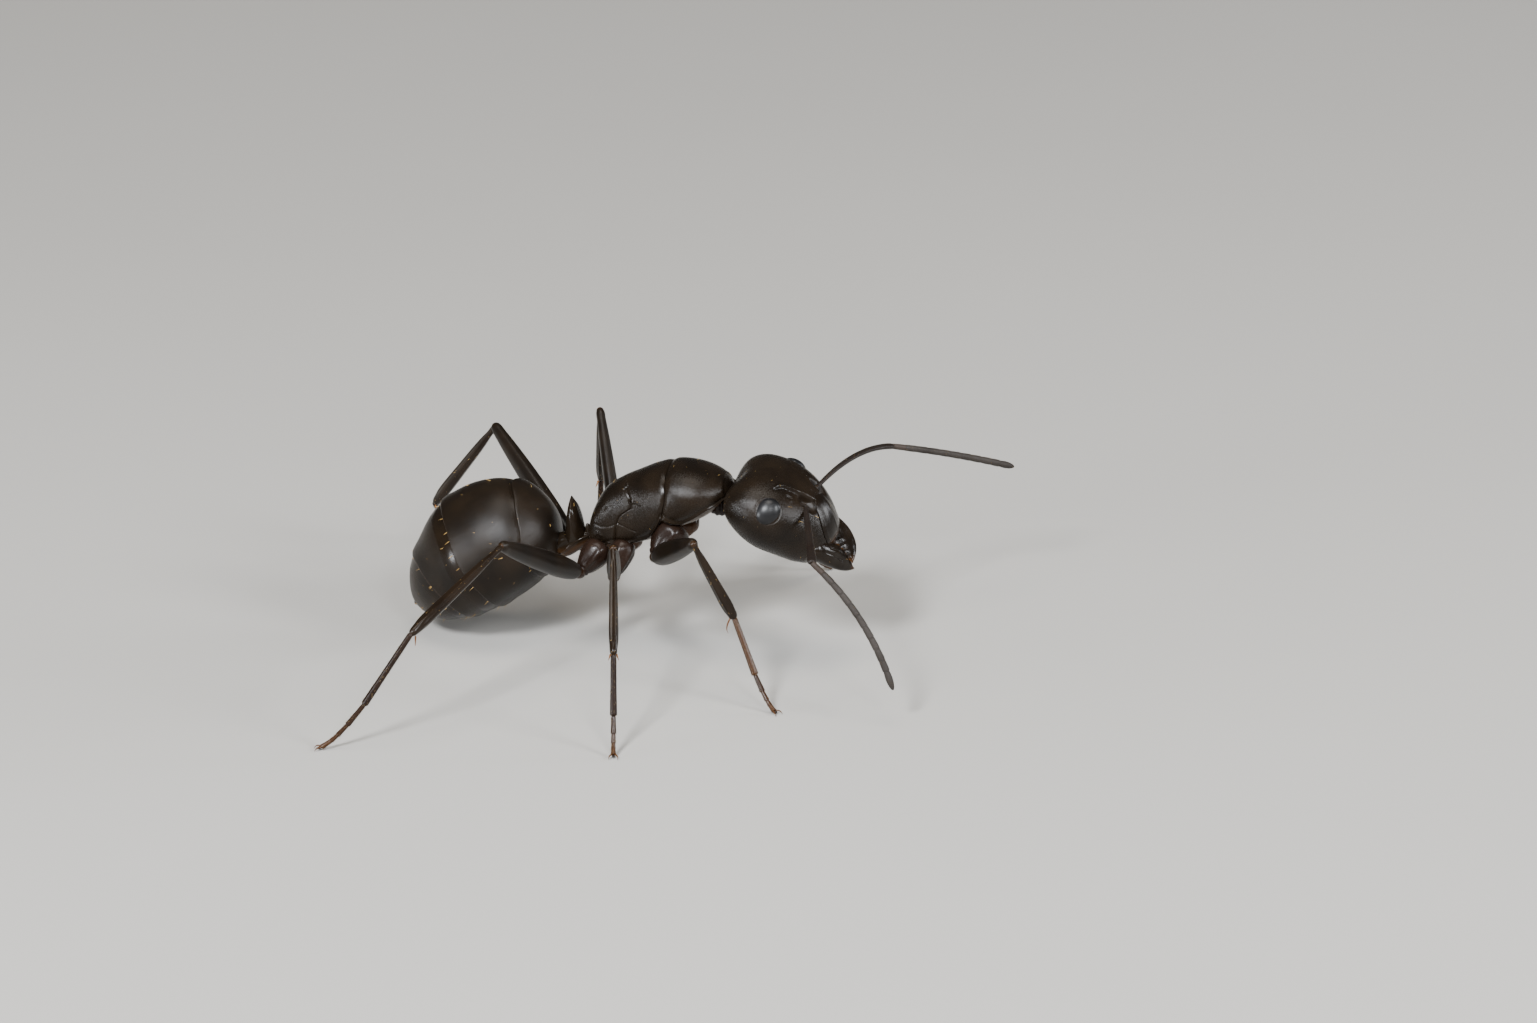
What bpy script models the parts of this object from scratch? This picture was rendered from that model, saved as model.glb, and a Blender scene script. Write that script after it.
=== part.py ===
"""A carpenter ant worker at life size, standing on six feet with its head lowered.

The ant faces +X, its left side is +Y and it stands on Z = 0, with the origin under the middle of its box.
Dimensions are in millimetres and degrees. Each mesh is made in millimetres too, and add_object brings it to
metres.
"""
import math

import bmesh
import bpy
import numpy as np
from mathutils import Euler, Matrix, Vector

MM = 0.001
GAP = 0.03                  # clearance between neighbouring plates
LEAST_RADIUS = 0.27         # thinnest leg and feeler tube, eight sided, so about half a millimetre through
PLANE_SNAP = 1e-6           # how near a cut a corner counts as lying on it
WELD = 1e-4                 # corners nearer than this are one, where a tube's caps meet its wall
END_LENGTH, END_WIDTH = 0.7, 0.6            # of a tube's radius: the step that rounds off each of its ends
BODY_AROUND, BODY_ALONG = 26, 22            # facets of the trunk and the gaster
HEAD_AROUND, HEAD_ALONG = 32, 24
EYE_AROUND, EYE_ALONG = 16, 10
PETIOLE_AROUND, PETIOLE_ALONG = 16, 12
MANDIBLE_AROUND, MANDIBLE_ALONG = 14, 12

# Lofted bodies. A station is (place along the axis, half width, top, bottom, squareness of the section);
# squareness 2 is an ellipse. The first and last stations are the round poles.
TRUNK = (
    (-0.69, 0.00, 2.88, 2.88, 2.2),
    (-0.61, 0.43, 3.44, 2.63, 2.2),
    (-0.32, 0.59, 4.02, 2.58, 2.4),
    (0.10, 0.64, 4.34, 2.64, 2.4),
    (0.50, 0.70, 4.54, 2.68, 2.4),
    (0.95, 0.86, 4.74, 2.84, 2.3),
    (1.45, 1.00, 4.86, 3.13, 2.2),
    (2.00, 0.98, 4.82, 3.38, 2.1),
    (2.45, 0.76, 4.67, 3.68, 2.0),
    (2.72, 0.40, 4.46, 4.00, 2.0),
    (2.82, 0.00, 4.24, 4.24, 2.0),
)
# The trunk's sutures: where each meets the back and the belly, as (x, z).
PRONOTUM_SUTURE = ((1.27, 4.84), (1.21, 3.00))
METANOTAL_SUTURE = ((0.22, 4.36), (0.04, 2.60))

GASTER = (
    (-4.30, 0.00, 0.08, 0.08, 2.0),
    (-3.95, 0.60, 0.80, -0.58, 2.0),
    (-3.30, 1.08, 1.34, -0.88, 2.0),
    (-2.50, 1.42, 1.77, -1.03, 2.0),
    (-1.70, 1.49, 1.86, -1.05, 2.0),
    (-0.96, 1.32, 1.67, -0.93, 2.0),
    (-0.48, 1.00, 1.33, -0.62, 2.0),
    (-0.18, 0.60, 0.95, -0.22, 2.0),
    (-0.03, 0.00, 0.38, 0.38, 2.0),
)
GASTER_FRONT = (-1.42, 0.0, 3.13)
GASTER_PITCH = -34.0                        # the gaster hangs towards its tip
# Rear edges of its segments: where each crosses the axis, and how far its top leans back from square.
GASTER_RINGS = ((-0.80, -9.0), (-2.21, 0.0), (-3.26, 16.0))

PETIOLE = (                 # scale and stalk, upright: stations climb, top is the front and bottom the rear
    (2.20, 0.00, -1.30, -1.30, 2.0),
    (2.30, 0.20, -1.16, -1.44, 2.0),
    (2.46, 0.28, -0.96, -1.52, 2.0),
    (2.64, 0.30, -0.74, -1.52, 2.0),
    (2.80, 0.30, -0.64, -1.42, 2.0),
    (2.98, 0.32, -0.78, -1.32, 2.0),
    (3.25, 0.36, -0.89, -1.28, 2.0),
    (3.50, 0.28, -0.99, -1.25, 2.0),
    (3.68, 0.13, -1.10, -1.20, 2.0),
    (3.77, 0.00, -1.16, -1.16, 2.0),
)

HEAD = (
    (-1.30, 0.00, -0.12, -0.12, 2.0),
    (-1.20, 0.72, 0.24, -0.50, 2.1),
    (-0.90, 1.14, 0.56, -0.80, 2.2),
    (-0.42, 1.33, 0.79, -0.95, 2.2),
    (0.10, 1.32, 0.88, -0.96, 2.2),
    (0.62, 1.17, 0.82, -0.82, 2.2),
    (1.10, 0.96, 0.60, -0.64, 2.3),
    (1.42, 0.66, 0.36, -0.42, 2.2),
    (1.55, 0.00, 0.00, 0.00, 2.0),
)
HEAD_CENTRE = (3.91, 0.0, 3.93)
HEAD_ROLL, HEAD_PITCH, HEAD_YAW = 13.0, 38.0, 4.0
LOBE_DEPTH = 0.26                           # how far the rear corners stand behind the middle of the nape
LOBE_START, LOBE_LENGTH = -0.10, 1.30       # where along the head they start to, and over what length
LOBE_WIDTH = 1.10                           # how far out from the middle they are at their full depth
LOBE_BALANCE = 0.4                          # the share of the depth by which the nape's middle moves forward
EYE_CENTRE = (-0.25, 1.12, 0.40)            # on the head, mirrored for the other eye
EYE_RADII = (0.28, 0.32, 0.20)
EYE_TILT = 58.0                             # how far an eye looks out from straight up the face
SCAPE_SOCKET = (0.55, 0.42, 0.85)
SOCKET_TAPER = 0.7                          # a scape is thinner by this where it leaves its pit
MANDIBLE = (
    (-0.30, 0.00, 0.00, 0.00, 2.0),
    (-0.12, 0.26, 0.22, -0.22, 2.0),
    (0.30, 0.33, 0.26, -0.22, 2.0),
    (0.75, 0.26, 0.19, -0.16, 2.0),
    (1.05, 0.12, 0.10, -0.08, 2.0),
    (1.18, 0.00, 0.01, 0.01, 2.0),
)
MANDIBLE_ROOT = (1.28, 0.58, 0.06)
MANDIBLE_TURN, MANDIBLE_DROP = 28.0, 3.0    # towards the other one, and away from the face
MANDIBLE_BOW = 0.10                         # how far its middle stands out from a straight one

NECK = ((2.40, 0.0, 3.84), (2.95, 0.0, 3.84))
NECK_RADIUS = 0.25

# Feelers: each length's azimuth, elevation and length, then how far its middle bows.
FEELERS = {
    "right": {"scape": (-78, -9, 2.70, (0, 0, 0)), "funiculus": (-11, -50, 3.66, (0.25, 0, 0.25))},
    "left": {"scape": (69, 4, 2.95, (0, 0, 0.28)), "funiculus": (47, -19, 3.80, (0, 0, 0.05))},
}
SCAPE_STEPS, FUNICULUS_STEPS = 6, 9

# Legs, front to rear. Lengths and hips are shared by a pair; each leg has its own pose.
LEGS = {
    "front": {
        "coxa": (1.50, 0.46, 3.34), "hip": (1.08, 0.86, 2.71), "coxa_radius": 0.39,
        "femur": 3.00, "tibia": 2.20,
    },
    "middle": {
        "coxa": (0.42, 0.42, 2.80), "hip": (0.16, 0.86, 2.13), "coxa_radius": 0.31,
        "femur": 3.60, "tibia": 2.80,
    },
    "hind": {
        "coxa": (-0.34, 0.42, 2.70), "hip": (-0.74, 0.86, 2.16), "coxa_radius": 0.31,
        "femur": 4.00, "tibia": 3.50,
    },
}
COXA_TAPER = (0.9, 1.0, 1.0, 0.9, 0.8)      # of the coxa's radius, from the trunk to the hip
FEMUR_RADII = (0.25, 0.30, 0.32, 0.32, 0.31, 0.30, 0.28, 0.27)
TIBIA_STEPS = 4
TARSUS_STEPS = 7
TARSUS_CURL = 1.35                          # above 1 the tarsus drops first and then runs flat on the floor
# Each pose gives the femur's and the tibia's (azimuth, elevation), and the tarsus as its azimuth and how far
# out it reaches on its way down to the floor. A swing moves the hip forwards, left and up.
POSES = {
    ("front", "right"): {"femur": (-57, 25), "tibia": (30, -63), "tarsus": (-33, 1.35)},
    ("middle", "right"): {"femur": (-76, 31), "tibia": (-76, -41), "tarsus": (-77, 1.00)},
    ("hind", "right"): {"femur": (-106, 27), "tibia": (-115, -20), "tarsus": (-162, 2.12)},
    ("front", "left"): {"femur": (71, 14), "tibia": (54, -49), "tarsus": (61, 1.80)},
    ("middle", "left"): {"femur": (116, 50), "tibia": (107, -56), "tarsus": (104, 1.16),
                         "swing": (-0.34, 0, 0)},
    ("hind", "left"): {"femur": (139, 28), "tibia": (145, -48), "tarsus": (89, 2.08),
                       "swing": (-0.42, 0, 0.10)},
}
FOOT_HEIGHT = 0.12          # of the foot's centre line; what is below the floor is cut off flat
SIDES = {"right": -1, "left": 1}

MATERIALS = {               # base colour, roughness
    "cuticle_black": ((0.012, 0.010, 0.009), 0.32),
    "cuticle_brown": ((0.055, 0.018, 0.008), 0.35),
    "eye_grey": ((0.045, 0.045, 0.050), 0.45),
    "feeler_grey": ((0.050, 0.040, 0.034), 0.50),
}


def clear_scene():
    for thing in list(bpy.data.objects):
        bpy.data.objects.remove(thing, do_unlink=True)


def new_collection(name):
    collection = bpy.data.collections.new(name)
    bpy.context.scene.collection.children.link(collection)
    return collection


def material(name):
    found = bpy.data.materials.get(name)
    if found:
        return found
    colour, roughness = MATERIALS[name]
    made = bpy.data.materials.new(name)
    made.use_nodes = True
    shader = made.node_tree.nodes["Principled BSDF"]
    shader.inputs["Base Color"].default_value = (*colour, 1.0)
    shader.inputs["Roughness"].default_value = roughness
    shader.inputs["Metallic"].default_value = 0.0
    return made


def add_object(name, mesh, collection, finish=None):
    """Brings a mesh from millimetres to metres and puts it in the scene."""
    mesh.transform(Matrix.Scale(MM, 4))
    made = bpy.data.objects.new(name, mesh)
    collection.objects.link(made)
    if finish:
        mesh.materials.clear()
        mesh.materials.append(material(finish))
    mesh.shade_smooth()
    return made


# ---- lofted bodies ------------------------------------------------------------------------------------

def blend_stations(stations, along):
    """Stations blended by a Catmull-Rom curve; along runs 0 to 1.

    The station before the first is the second one turned over its axis, and so at the end: its width changes
    sign, its top and bottom change places, and the pole between them comes out round.
    """
    rows = np.array(stations)
    flip = rows[:, [0, 1, 3, 2, 4]] * np.array([1, -1, 1, 1, 1])
    rows = np.vstack([flip[1], rows, flip[-2]])
    spans = len(stations) - 1
    span = np.minimum((along * spans).astype(int), spans - 1)
    t = (along * spans - span)[:, None]
    a, b, c, d = (rows[span + step] for step in range(4))
    bend, twist = 2 * a - 5 * b + 4 * c - d, 3 * b - a - 3 * c + d
    return 0.5 * (2 * b + (c - a) * t + bend * t ** 2 + twist * t ** 3)


def loft_points(stations, along, around):
    """Points on a loft: superellipse sections, centred between top and bottom, strung along X."""
    x, half_width, top, bottom, squareness = blend_stations(stations, along).T
    power = 2 / squareness
    across = np.sign(np.cos(around)) * np.abs(np.cos(around)) ** power
    up = np.sign(np.sin(around)) * np.abs(np.sin(around)) ** power
    return np.column_stack([x, half_width * across, (top + bottom) / 2 + (top - bottom) / 2 * up])


def lofted_mesh(name, stations, around, along, shape=None):
    """A UV sphere carried on to a loft: its poles go to the end stations; shape may bend the points."""
    ball = bmesh.new()
    bmesh.ops.create_uvsphere(ball, u_segments=around, v_segments=along, radius=1.0)
    unit = np.array([corner.co[:] for corner in ball.verts])
    latitude = 1 - np.arccos(np.clip(unit[:, 2], -1, 1)) / math.pi
    points = loft_points(stations, latitude, np.arctan2(unit[:, 1], unit[:, 0]))
    if shape:
        points = shape(points)
    for corner, point in zip(ball.verts, points):
        corner.co = Vector(point)
    mesh = bpy.data.meshes.new(name)
    ball.to_mesh(mesh)
    ball.free()
    return mesh


def ellipsoid_mesh(name, radii, around, along):
    ball = bmesh.new()
    bmesh.ops.create_uvsphere(ball, u_segments=around, v_segments=along, radius=1.0)
    bmesh.ops.scale(ball, vec=Vector(radii), verts=ball.verts[:])
    mesh = bpy.data.meshes.new(name)
    ball.to_mesh(mesh)
    ball.free()
    return mesh


def placed(mesh, matrix):
    mesh.transform(matrix)
    return mesh


def placement(location, roll=0.0, pitch=0.0, yaw=0.0):
    turn = Euler([math.radians(angle) for angle in (roll, pitch, yaw)], "XYZ").to_matrix().to_4x4()
    return Matrix.Translation(Vector(location)) @ turn


# ---- cuts ---------------------------------------------------------------------------------------------

def trim(mesh, point, outward):
    """Cuts away what lies beyond the plane and closes the cut with one flat face."""
    body = bmesh.new()
    body.from_mesh(mesh)
    everything = body.verts[:] + body.edges[:] + body.faces[:]
    bmesh.ops.bisect_plane(body, geom=everything, dist=PLANE_SNAP, plane_co=point, plane_no=outward,
                           clear_outer=True)
    rim = [edge for edge in body.edges if edge.is_boundary]
    bmesh.ops.edgeloop_fill(body, edges=rim)
    bmesh.ops.recalc_face_normals(body, faces=body.faces[:])
    body.to_mesh(mesh)
    body.free()
    return mesh


def grown_cutter(mesh, cutters):
    """A cutter like the mesh whose surface stands one gap further out; the mesh is still in millimetres."""
    body = bmesh.new()
    body.from_mesh(mesh)
    body.normal_update()
    for corner, normal in [(corner, corner.normal.copy()) for corner in body.verts]:
        corner.co += normal * GAP
    grown = bpy.data.meshes.new(mesh.name + "_cutter")
    body.to_mesh(grown)
    body.free()
    cutter = add_object(grown.name, grown, cutters)
    cutter.hide_render = True
    cutter.display_type = "WIRE"
    return cutter


def cut_clear(target, cutter):
    """Takes the cutter's volume out of the target."""
    boolean = target.modifiers.new("clear_of_" + cutter.name, "BOOLEAN")
    boolean.operation = "DIFFERENCE"
    boolean.solver = "EXACT"
    boolean.object = cutter


# ---- tubes --------------------------------------------------------------------------------------------

def tube_mesh(name, points, radii):
    """A closed tube of eight sides along the points, made as a bevelled curve and turned into a mesh."""
    curve = bpy.data.curves.new(name, "CURVE")
    curve.dimensions = "3D"
    curve.bevel_depth = 1.0
    curve.bevel_resolution = 2
    curve.use_fill_caps = True
    spline = curve.splines.new("POLY")
    spline.points.add(len(points) - 1)
    for knot, point, radius in zip(spline.points, points, radii):
        knot.co = (*point, 1.0)
        knot.radius = radius
    guide = bpy.data.objects.new(name + "_curve", curve)
    bpy.context.scene.collection.objects.link(guide)
    evaluated = guide.evaluated_get(bpy.context.evaluated_depsgraph_get())
    mesh = bpy.data.meshes.new_from_object(evaluated)
    mesh.name = name
    mesh.transform(guide.matrix_world)
    bpy.data.objects.remove(guide, do_unlink=True)
    body = bmesh.new()
    body.from_mesh(mesh)
    bmesh.ops.remove_doubles(body, verts=body.verts[:], dist=WELD)
    bmesh.ops.recalc_face_normals(body, faces=body.faces[:])
    body.to_mesh(mesh)
    body.free()
    return mesh


def direction(azimuth, elevation):
    azimuth, elevation = math.radians(azimuth), math.radians(elevation)
    return Vector((math.cos(elevation) * math.cos(azimuth), math.cos(elevation) * math.sin(azimuth),
                   math.sin(elevation)))


def limb_points(start, end, steps, bow=(0, 0, 0)):
    """Points from start to end, whose middle stands off the straight line by bow."""
    return [start.lerp(end, i / steps) + Vector(bow) * 4 * (i / steps) * (1 - i / steps)
            for i in range(steps + 1)]


def rounded_ends(points, radii):
    """The same path with a short narrow step added past each end, which rounds the tube off."""
    first = points[0] + (points[0] - points[1]).normalized() * radii[0] * END_LENGTH
    last = points[-1] + (points[-1] - points[-2]).normalized() * radii[-1] * END_LENGTH
    return [first, *points, last], [radii[0] * END_WIDTH, *radii, radii[-1] * END_WIDTH]


def mitre(before, joint, after):
    """The plane that parts two lengths at a joint, as its normal pointing from the first to the second."""
    return ((after - joint).normalized() - (before - joint).normalized()).normalized()


# ---- the ant's pieces ---------------------------------------------------------------------------------

def suture_plane(suture):
    """The plane across the body through a suture's ends: a point on it and its normal, pointing forward."""
    (x_back, z_back), (x_belly, z_belly) = suture
    rise = Vector((x_back - x_belly, 0, z_back - z_belly)).normalized()
    return Vector((x_back, 0, z_back)), Vector((rise.z, 0, -rise.x))


def build_trunk(ant):
    """Pronotum, mesothorax and propodeum: one loft, parted at its two sutures."""
    plates = {}
    planes = [suture_plane(METANOTAL_SUTURE), suture_plane(PRONOTUM_SUTURE)]
    for place, name in enumerate(("propodeum", "mesothorax", "pronotum")):
        mesh = lofted_mesh(name, TRUNK, BODY_AROUND, BODY_ALONG)
        if place < 2:
            point, forward = planes[place]
            trim(mesh, point - forward * GAP / 2, forward)
        if place > 0:
            point, forward = planes[place - 1]
            trim(mesh, point + forward * GAP / 2, -forward)
        plates[name] = add_object(name, mesh, ant, "cuticle_black")
    return plates


def ring_plane(place, ring):
    """A ring's plane: a point on it and its normal, pointing forward along the gaster."""
    along, lean = ring
    normal = Vector((math.cos(math.radians(lean)), 0, math.sin(math.radians(lean))))
    return place @ Vector((along, 0, 0)), place.to_3x3() @ normal


def build_gaster(ant):
    """Four segments: one loft, parted by rings across its axis."""
    place = placement(GASTER_FRONT, pitch=GASTER_PITCH)
    rings = [ring_plane(place, ring) for ring in GASTER_RINGS]
    segments = []
    for number in range(len(rings) + 1):
        mesh = placed(lofted_mesh("gaster_%d" % (number + 1), GASTER, BODY_AROUND, BODY_ALONG), place)
        if number > 0:
            point, forward = rings[number - 1]
            trim(mesh, point - forward * GAP / 2, forward)
        if number < len(rings):
            point, forward = rings[number]
            trim(mesh, point + forward * GAP / 2, -forward)
        segments.append(add_object(mesh.name, mesh, ant, "cuticle_black"))
    return segments


def build_petiole(ant, cutters, neighbours):
    """The upright scale of the waist, with the stalk it stands on; the plates next to it keep clear of it."""
    upright = Matrix(((0, 0, 1, 0), (0, -1, 0, 0), (1, 0, 0, 0), (0, 0, 0, 1)))
    mesh = placed(lofted_mesh("petiole", PETIOLE, PETIOLE_AROUND, PETIOLE_ALONG), upright)
    cutter = grown_cutter(mesh, cutters)
    add_object("petiole", mesh, ant, "cuticle_black")
    for neighbour in neighbours:
        cut_clear(neighbour, cutter)


def head_lobes(points):
    """Sets the rear corners of the head back and the middle of its nape forward."""
    x, y, z = points.T
    rear = np.clip((LOBE_START - x) / LOBE_LENGTH, 0, 1) ** 2
    corner = np.clip(np.abs(y) / LOBE_WIDTH, 0, 1) ** 2
    return np.column_stack([x - LOBE_DEPTH * rear * (corner - LOBE_BALANCE), y, z])


def bowed(sign):
    """A shape for lofted_mesh that bends a mandible outwards along its length."""
    length = MANDIBLE[-1][0]

    def bend(points):
        x, y, z = points.T
        return np.column_stack([x, y + sign * MANDIBLE_BOW * np.sin(np.pi * np.clip(x / length, 0, 1)), z])
    return bend


def build_head(ant, cutters, pronotum):
    """Head, eyes and mandibles. The eyes sit in sockets, and the mandibles and the collar end at the head."""
    place = placement(HEAD_CENTRE, HEAD_ROLL, HEAD_PITCH, HEAD_YAW)
    head_mesh = placed(lofted_mesh("head", HEAD, HEAD_AROUND, HEAD_ALONG, head_lobes), place)
    head_cutter = grown_cutter(head_mesh, cutters)
    head = add_object("head", head_mesh, ant, "cuticle_black")
    cut_clear(pronotum, head_cutter)
    for side, sign in SIDES.items():
        centre = Vector(EYE_CENTRE) * Vector((1, sign, 1))
        turn = placement(centre, roll=-sign * EYE_TILT)
        eye_mesh = placed(ellipsoid_mesh("eye_" + side, EYE_RADII, EYE_AROUND, EYE_ALONG), place @ turn)
        cut_clear(head, grown_cutter(eye_mesh, cutters))
        add_object("eye_" + side, eye_mesh, ant, "eye_grey")
        root = Vector(MANDIBLE_ROOT) * Vector((1, sign, 1))
        turn = placement(root, pitch=MANDIBLE_DROP, yaw=-sign * MANDIBLE_TURN)
        jaw_mesh = lofted_mesh("mandible_" + side, MANDIBLE, MANDIBLE_AROUND, MANDIBLE_ALONG, bowed(sign))
        jaw = add_object("mandible_" + side, placed(jaw_mesh, place @ turn), ant, "cuticle_black")
        cut_clear(jaw, head_cutter)
    return head, place


def build_neck(ant, cutters, pronotum, head):
    points, radii = rounded_ends([Vector(end) for end in NECK], [NECK_RADIUS, NECK_RADIUS])
    mesh = tube_mesh("neck", points, radii)
    cutter = grown_cutter(mesh, cutters)
    add_object("neck", mesh, ant, "cuticle_brown")
    cut_clear(pronotum, cutter)
    cut_clear(head, cutter)


def build_feeler(ant, cutters, side, head, head_place):
    """A scape, which starts in a pit of the head, and a funiculus beyond its elbow."""
    pose = FEELERS[side]
    root = head_place @ (Vector(SCAPE_SOCKET) * Vector((1, SIDES[side], 1)))
    azimuth, elevation, length, scape_bow = pose["scape"]
    elbow = root + direction(azimuth, elevation) * length
    azimuth, elevation, length, funiculus_bow = pose["funiculus"]
    tip = elbow + direction(azimuth, elevation) * length
    lengths = (
        ("scape_" + side, limb_points(root, elbow, SCAPE_STEPS, scape_bow), "cuticle_black"),
        ("funiculus_" + side, limb_points(elbow, tip, FUNICULUS_STEPS, funiculus_bow), "feeler_grey"),
    )
    parting = mitre(lengths[0][1][-2], elbow, lengths[1][1][1])
    for place, (name, points, finish) in enumerate(lengths):
        radii = [LEAST_RADIUS] * len(points)
        if place == 0:
            radii[0] *= SOCKET_TAPER
        mesh = tube_mesh(name, *rounded_ends(points, radii))
        outward = parting if place == 0 else -parting
        trim(mesh, elbow - outward * GAP / 2, outward)
        if place == 0:
            cut_clear(head, grown_cutter(mesh, cutters))
        add_object(name, mesh, ant, finish)


def tarsus_points(ankle, azimuth, reach):
    """The tarsus: from the ankle out to the floor, flattening towards the foot."""
    points = []
    for i in range(TARSUS_STEPS + 1):
        t = i / TARSUS_STEPS
        height = FOOT_HEIGHT + (ankle.z - FOOT_HEIGHT) * (1 - t) ** TARSUS_CURL
        out = ankle + direction(azimuth, 0) * reach * t
        points.append(Vector((out.x, out.y, height)))
    return points


def build_leg(ant, cutters, pair, side, trunk_cutter):
    """Coxa, femur, tibia and tarsus, mitred where they meet; the foot is cut flat on the floor."""
    sizes, pose = LEGS[pair], POSES[(pair, side)]
    mirror = Vector((1, SIDES[side], 1))
    root = Vector(sizes["coxa"]) * mirror
    hip = Vector(sizes["hip"]) * mirror + Vector(pose.get("swing", (0, 0, 0)))
    knee = hip + direction(*pose["femur"]) * sizes["femur"]
    ankle = knee + direction(*pose["tibia"]) * sizes["tibia"]
    coxa_radii = [sizes["coxa_radius"] * share for share in COXA_TAPER]
    tibia_radii, tarsus_radii = [LEAST_RADIUS] * (TIBIA_STEPS + 1), [LEAST_RADIUS] * (TARSUS_STEPS + 1)
    lengths = [
        ("coxa", limb_points(root, hip, len(COXA_TAPER) - 1), coxa_radii, "cuticle_brown"),
        ("femur", limb_points(hip, knee, len(FEMUR_RADII) - 1), FEMUR_RADII, "cuticle_black"),
        ("tibia", limb_points(knee, ankle, TIBIA_STEPS), tibia_radii, "cuticle_black"),
        ("tarsus", tarsus_points(ankle, *pose["tarsus"]), tarsus_radii, "cuticle_brown"),
    ]
    partings = [mitre(lengths[i][1][-2], lengths[i + 1][1][0], lengths[i + 1][1][1]) for i in range(3)]
    for place, (kind, points, radii, finish) in enumerate(lengths):
        name = "%s_%s_%s" % (kind, pair, side)
        mesh = tube_mesh(name, *rounded_ends(points, radii))
        if place > 0:
            trim(mesh, points[0] + partings[place - 1] * GAP / 2, -partings[place - 1])
        if place < 3:
            trim(mesh, points[-1] - partings[place] * GAP / 2, partings[place])
        if kind == "tarsus":
            trim(mesh, Vector((0, 0, 0)), Vector((0, 0, -1)))
        made = add_object(name, mesh, ant, finish)
        if kind == "coxa":
            cut_clear(made, trunk_cutter)


def centre_on_origin(ant):
    """Hangs every piece on an empty that puts the middle of their box over the origin."""
    bpy.context.view_layer.update()
    corners = np.array([made.matrix_world @ Vector(corner)
                        for made in ant.objects for corner in made.bound_box])
    middle = (corners.min(axis=0) + corners.max(axis=0)) / 2
    stand = bpy.data.objects.new("ant_origin", None)
    ant.objects.link(stand)
    for made in ant.objects:
        if made is not stand:
            made.parent = stand
    for made in bpy.data.collections["cutters"].objects:
        made.parent = stand
    stand.location = (-middle[0], -middle[1], 0)


def main():
    clear_scene()
    ant = new_collection("carpenter_ant")
    cutters = new_collection("cutters")
    plates = build_trunk(ant)
    segments = build_gaster(ant)
    build_petiole(ant, cutters, (plates["propodeum"], segments[0]))
    head, head_place = build_head(ant, cutters, plates["pronotum"])
    build_neck(ant, cutters, plates["pronotum"], head)
    for side in SIDES:
        build_feeler(ant, cutters, side, head, head_place)
    trunk_cutter = grown_cutter(lofted_mesh("trunk", TRUNK, BODY_AROUND, BODY_ALONG), cutters)
    for pair in LEGS:
        for side in SIDES:
            build_leg(ant, cutters, pair, side, trunk_cutter)
    centre_on_origin(ant)


main()
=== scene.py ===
"""The looks of a carpenter ant worker at life size: shell plates, jointed limbs, bristles, stage and camera.

Every shape is worked out in millimetres on the ant's own axes, +X to its front, +Y to its left and the floor
at Z = 0, and make_piece moves it into the frame. A plate is a loft: superellipse sections along an axis.
"""
import math

import bpy
import numpy as np
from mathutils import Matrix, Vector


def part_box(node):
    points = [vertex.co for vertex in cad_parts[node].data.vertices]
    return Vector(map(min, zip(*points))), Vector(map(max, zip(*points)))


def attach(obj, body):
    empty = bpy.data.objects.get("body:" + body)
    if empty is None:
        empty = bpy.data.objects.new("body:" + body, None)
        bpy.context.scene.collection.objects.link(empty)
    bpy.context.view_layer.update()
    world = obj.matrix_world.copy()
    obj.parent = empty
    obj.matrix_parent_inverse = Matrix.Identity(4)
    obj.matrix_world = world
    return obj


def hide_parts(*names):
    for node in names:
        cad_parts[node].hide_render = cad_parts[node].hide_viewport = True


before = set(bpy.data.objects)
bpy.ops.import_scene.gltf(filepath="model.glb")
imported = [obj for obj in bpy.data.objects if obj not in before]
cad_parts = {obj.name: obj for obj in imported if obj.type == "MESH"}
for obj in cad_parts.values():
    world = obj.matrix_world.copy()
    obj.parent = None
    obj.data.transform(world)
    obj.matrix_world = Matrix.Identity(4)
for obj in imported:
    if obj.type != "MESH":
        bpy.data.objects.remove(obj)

bl_info = {
    "name": "Carpenter ant",
    "version": (1, 0, 0),
    "blender": (4, 5, 0),
    "location": "View3D > Sidebar > Ant",
    "description": "Builds the outer looks of a life-size carpenter ant round its solids",
    "category": "Add Mesh",
}

MM = 0.001
TAU = 2 * math.pi
SIDES = {"right": -1, "left": 1}
PAIRS = ("front", "middle", "hind")
FINE_STEPS = 2001           # shares tried along a loft to find where it meets a place
CROWDING = 0.35             # how much closer a plate's rows lie at its edges
WALL_STEPS = (0.0, 0.5, 0.85, 0.97)     # rings of the wall behind a plate's edge, from its middle outwards

# Rows along and columns round each kind of closed grid.
GRIDS = {
    "trunk": (140, 360), "gaster": (170, 340), "gaster_tip": (48, 28), "scale": (140, 200),
    "stalk": (120, 120), "lobe": (30, 28), "head": (290, 336), "clypeus": (130, 180), "eye": (180, 260),
    "mandible": (220, 130), "mouth": (40, 28), "palp": (20, 14), "neck": (90, 70), "scape": (120, 40),
    "ring": (34, 36), "coxa": (80, 80), "trochanter": (40, 48), "femur": (140, 60), "tibia": (140, 60),
    "knee": (30, 36), "tarsomere": (36, 28), "pad": (16, 16), "spike": (24, 12),
}

# ---- sizes in millimetres ----
# A station is (place along the axis, half width, top, bottom, squareness); squareness 2 is an ellipse.
# A mound is (height, place, width); a negative height makes it a groove. A reach is (start, end) of a ramp.

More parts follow.
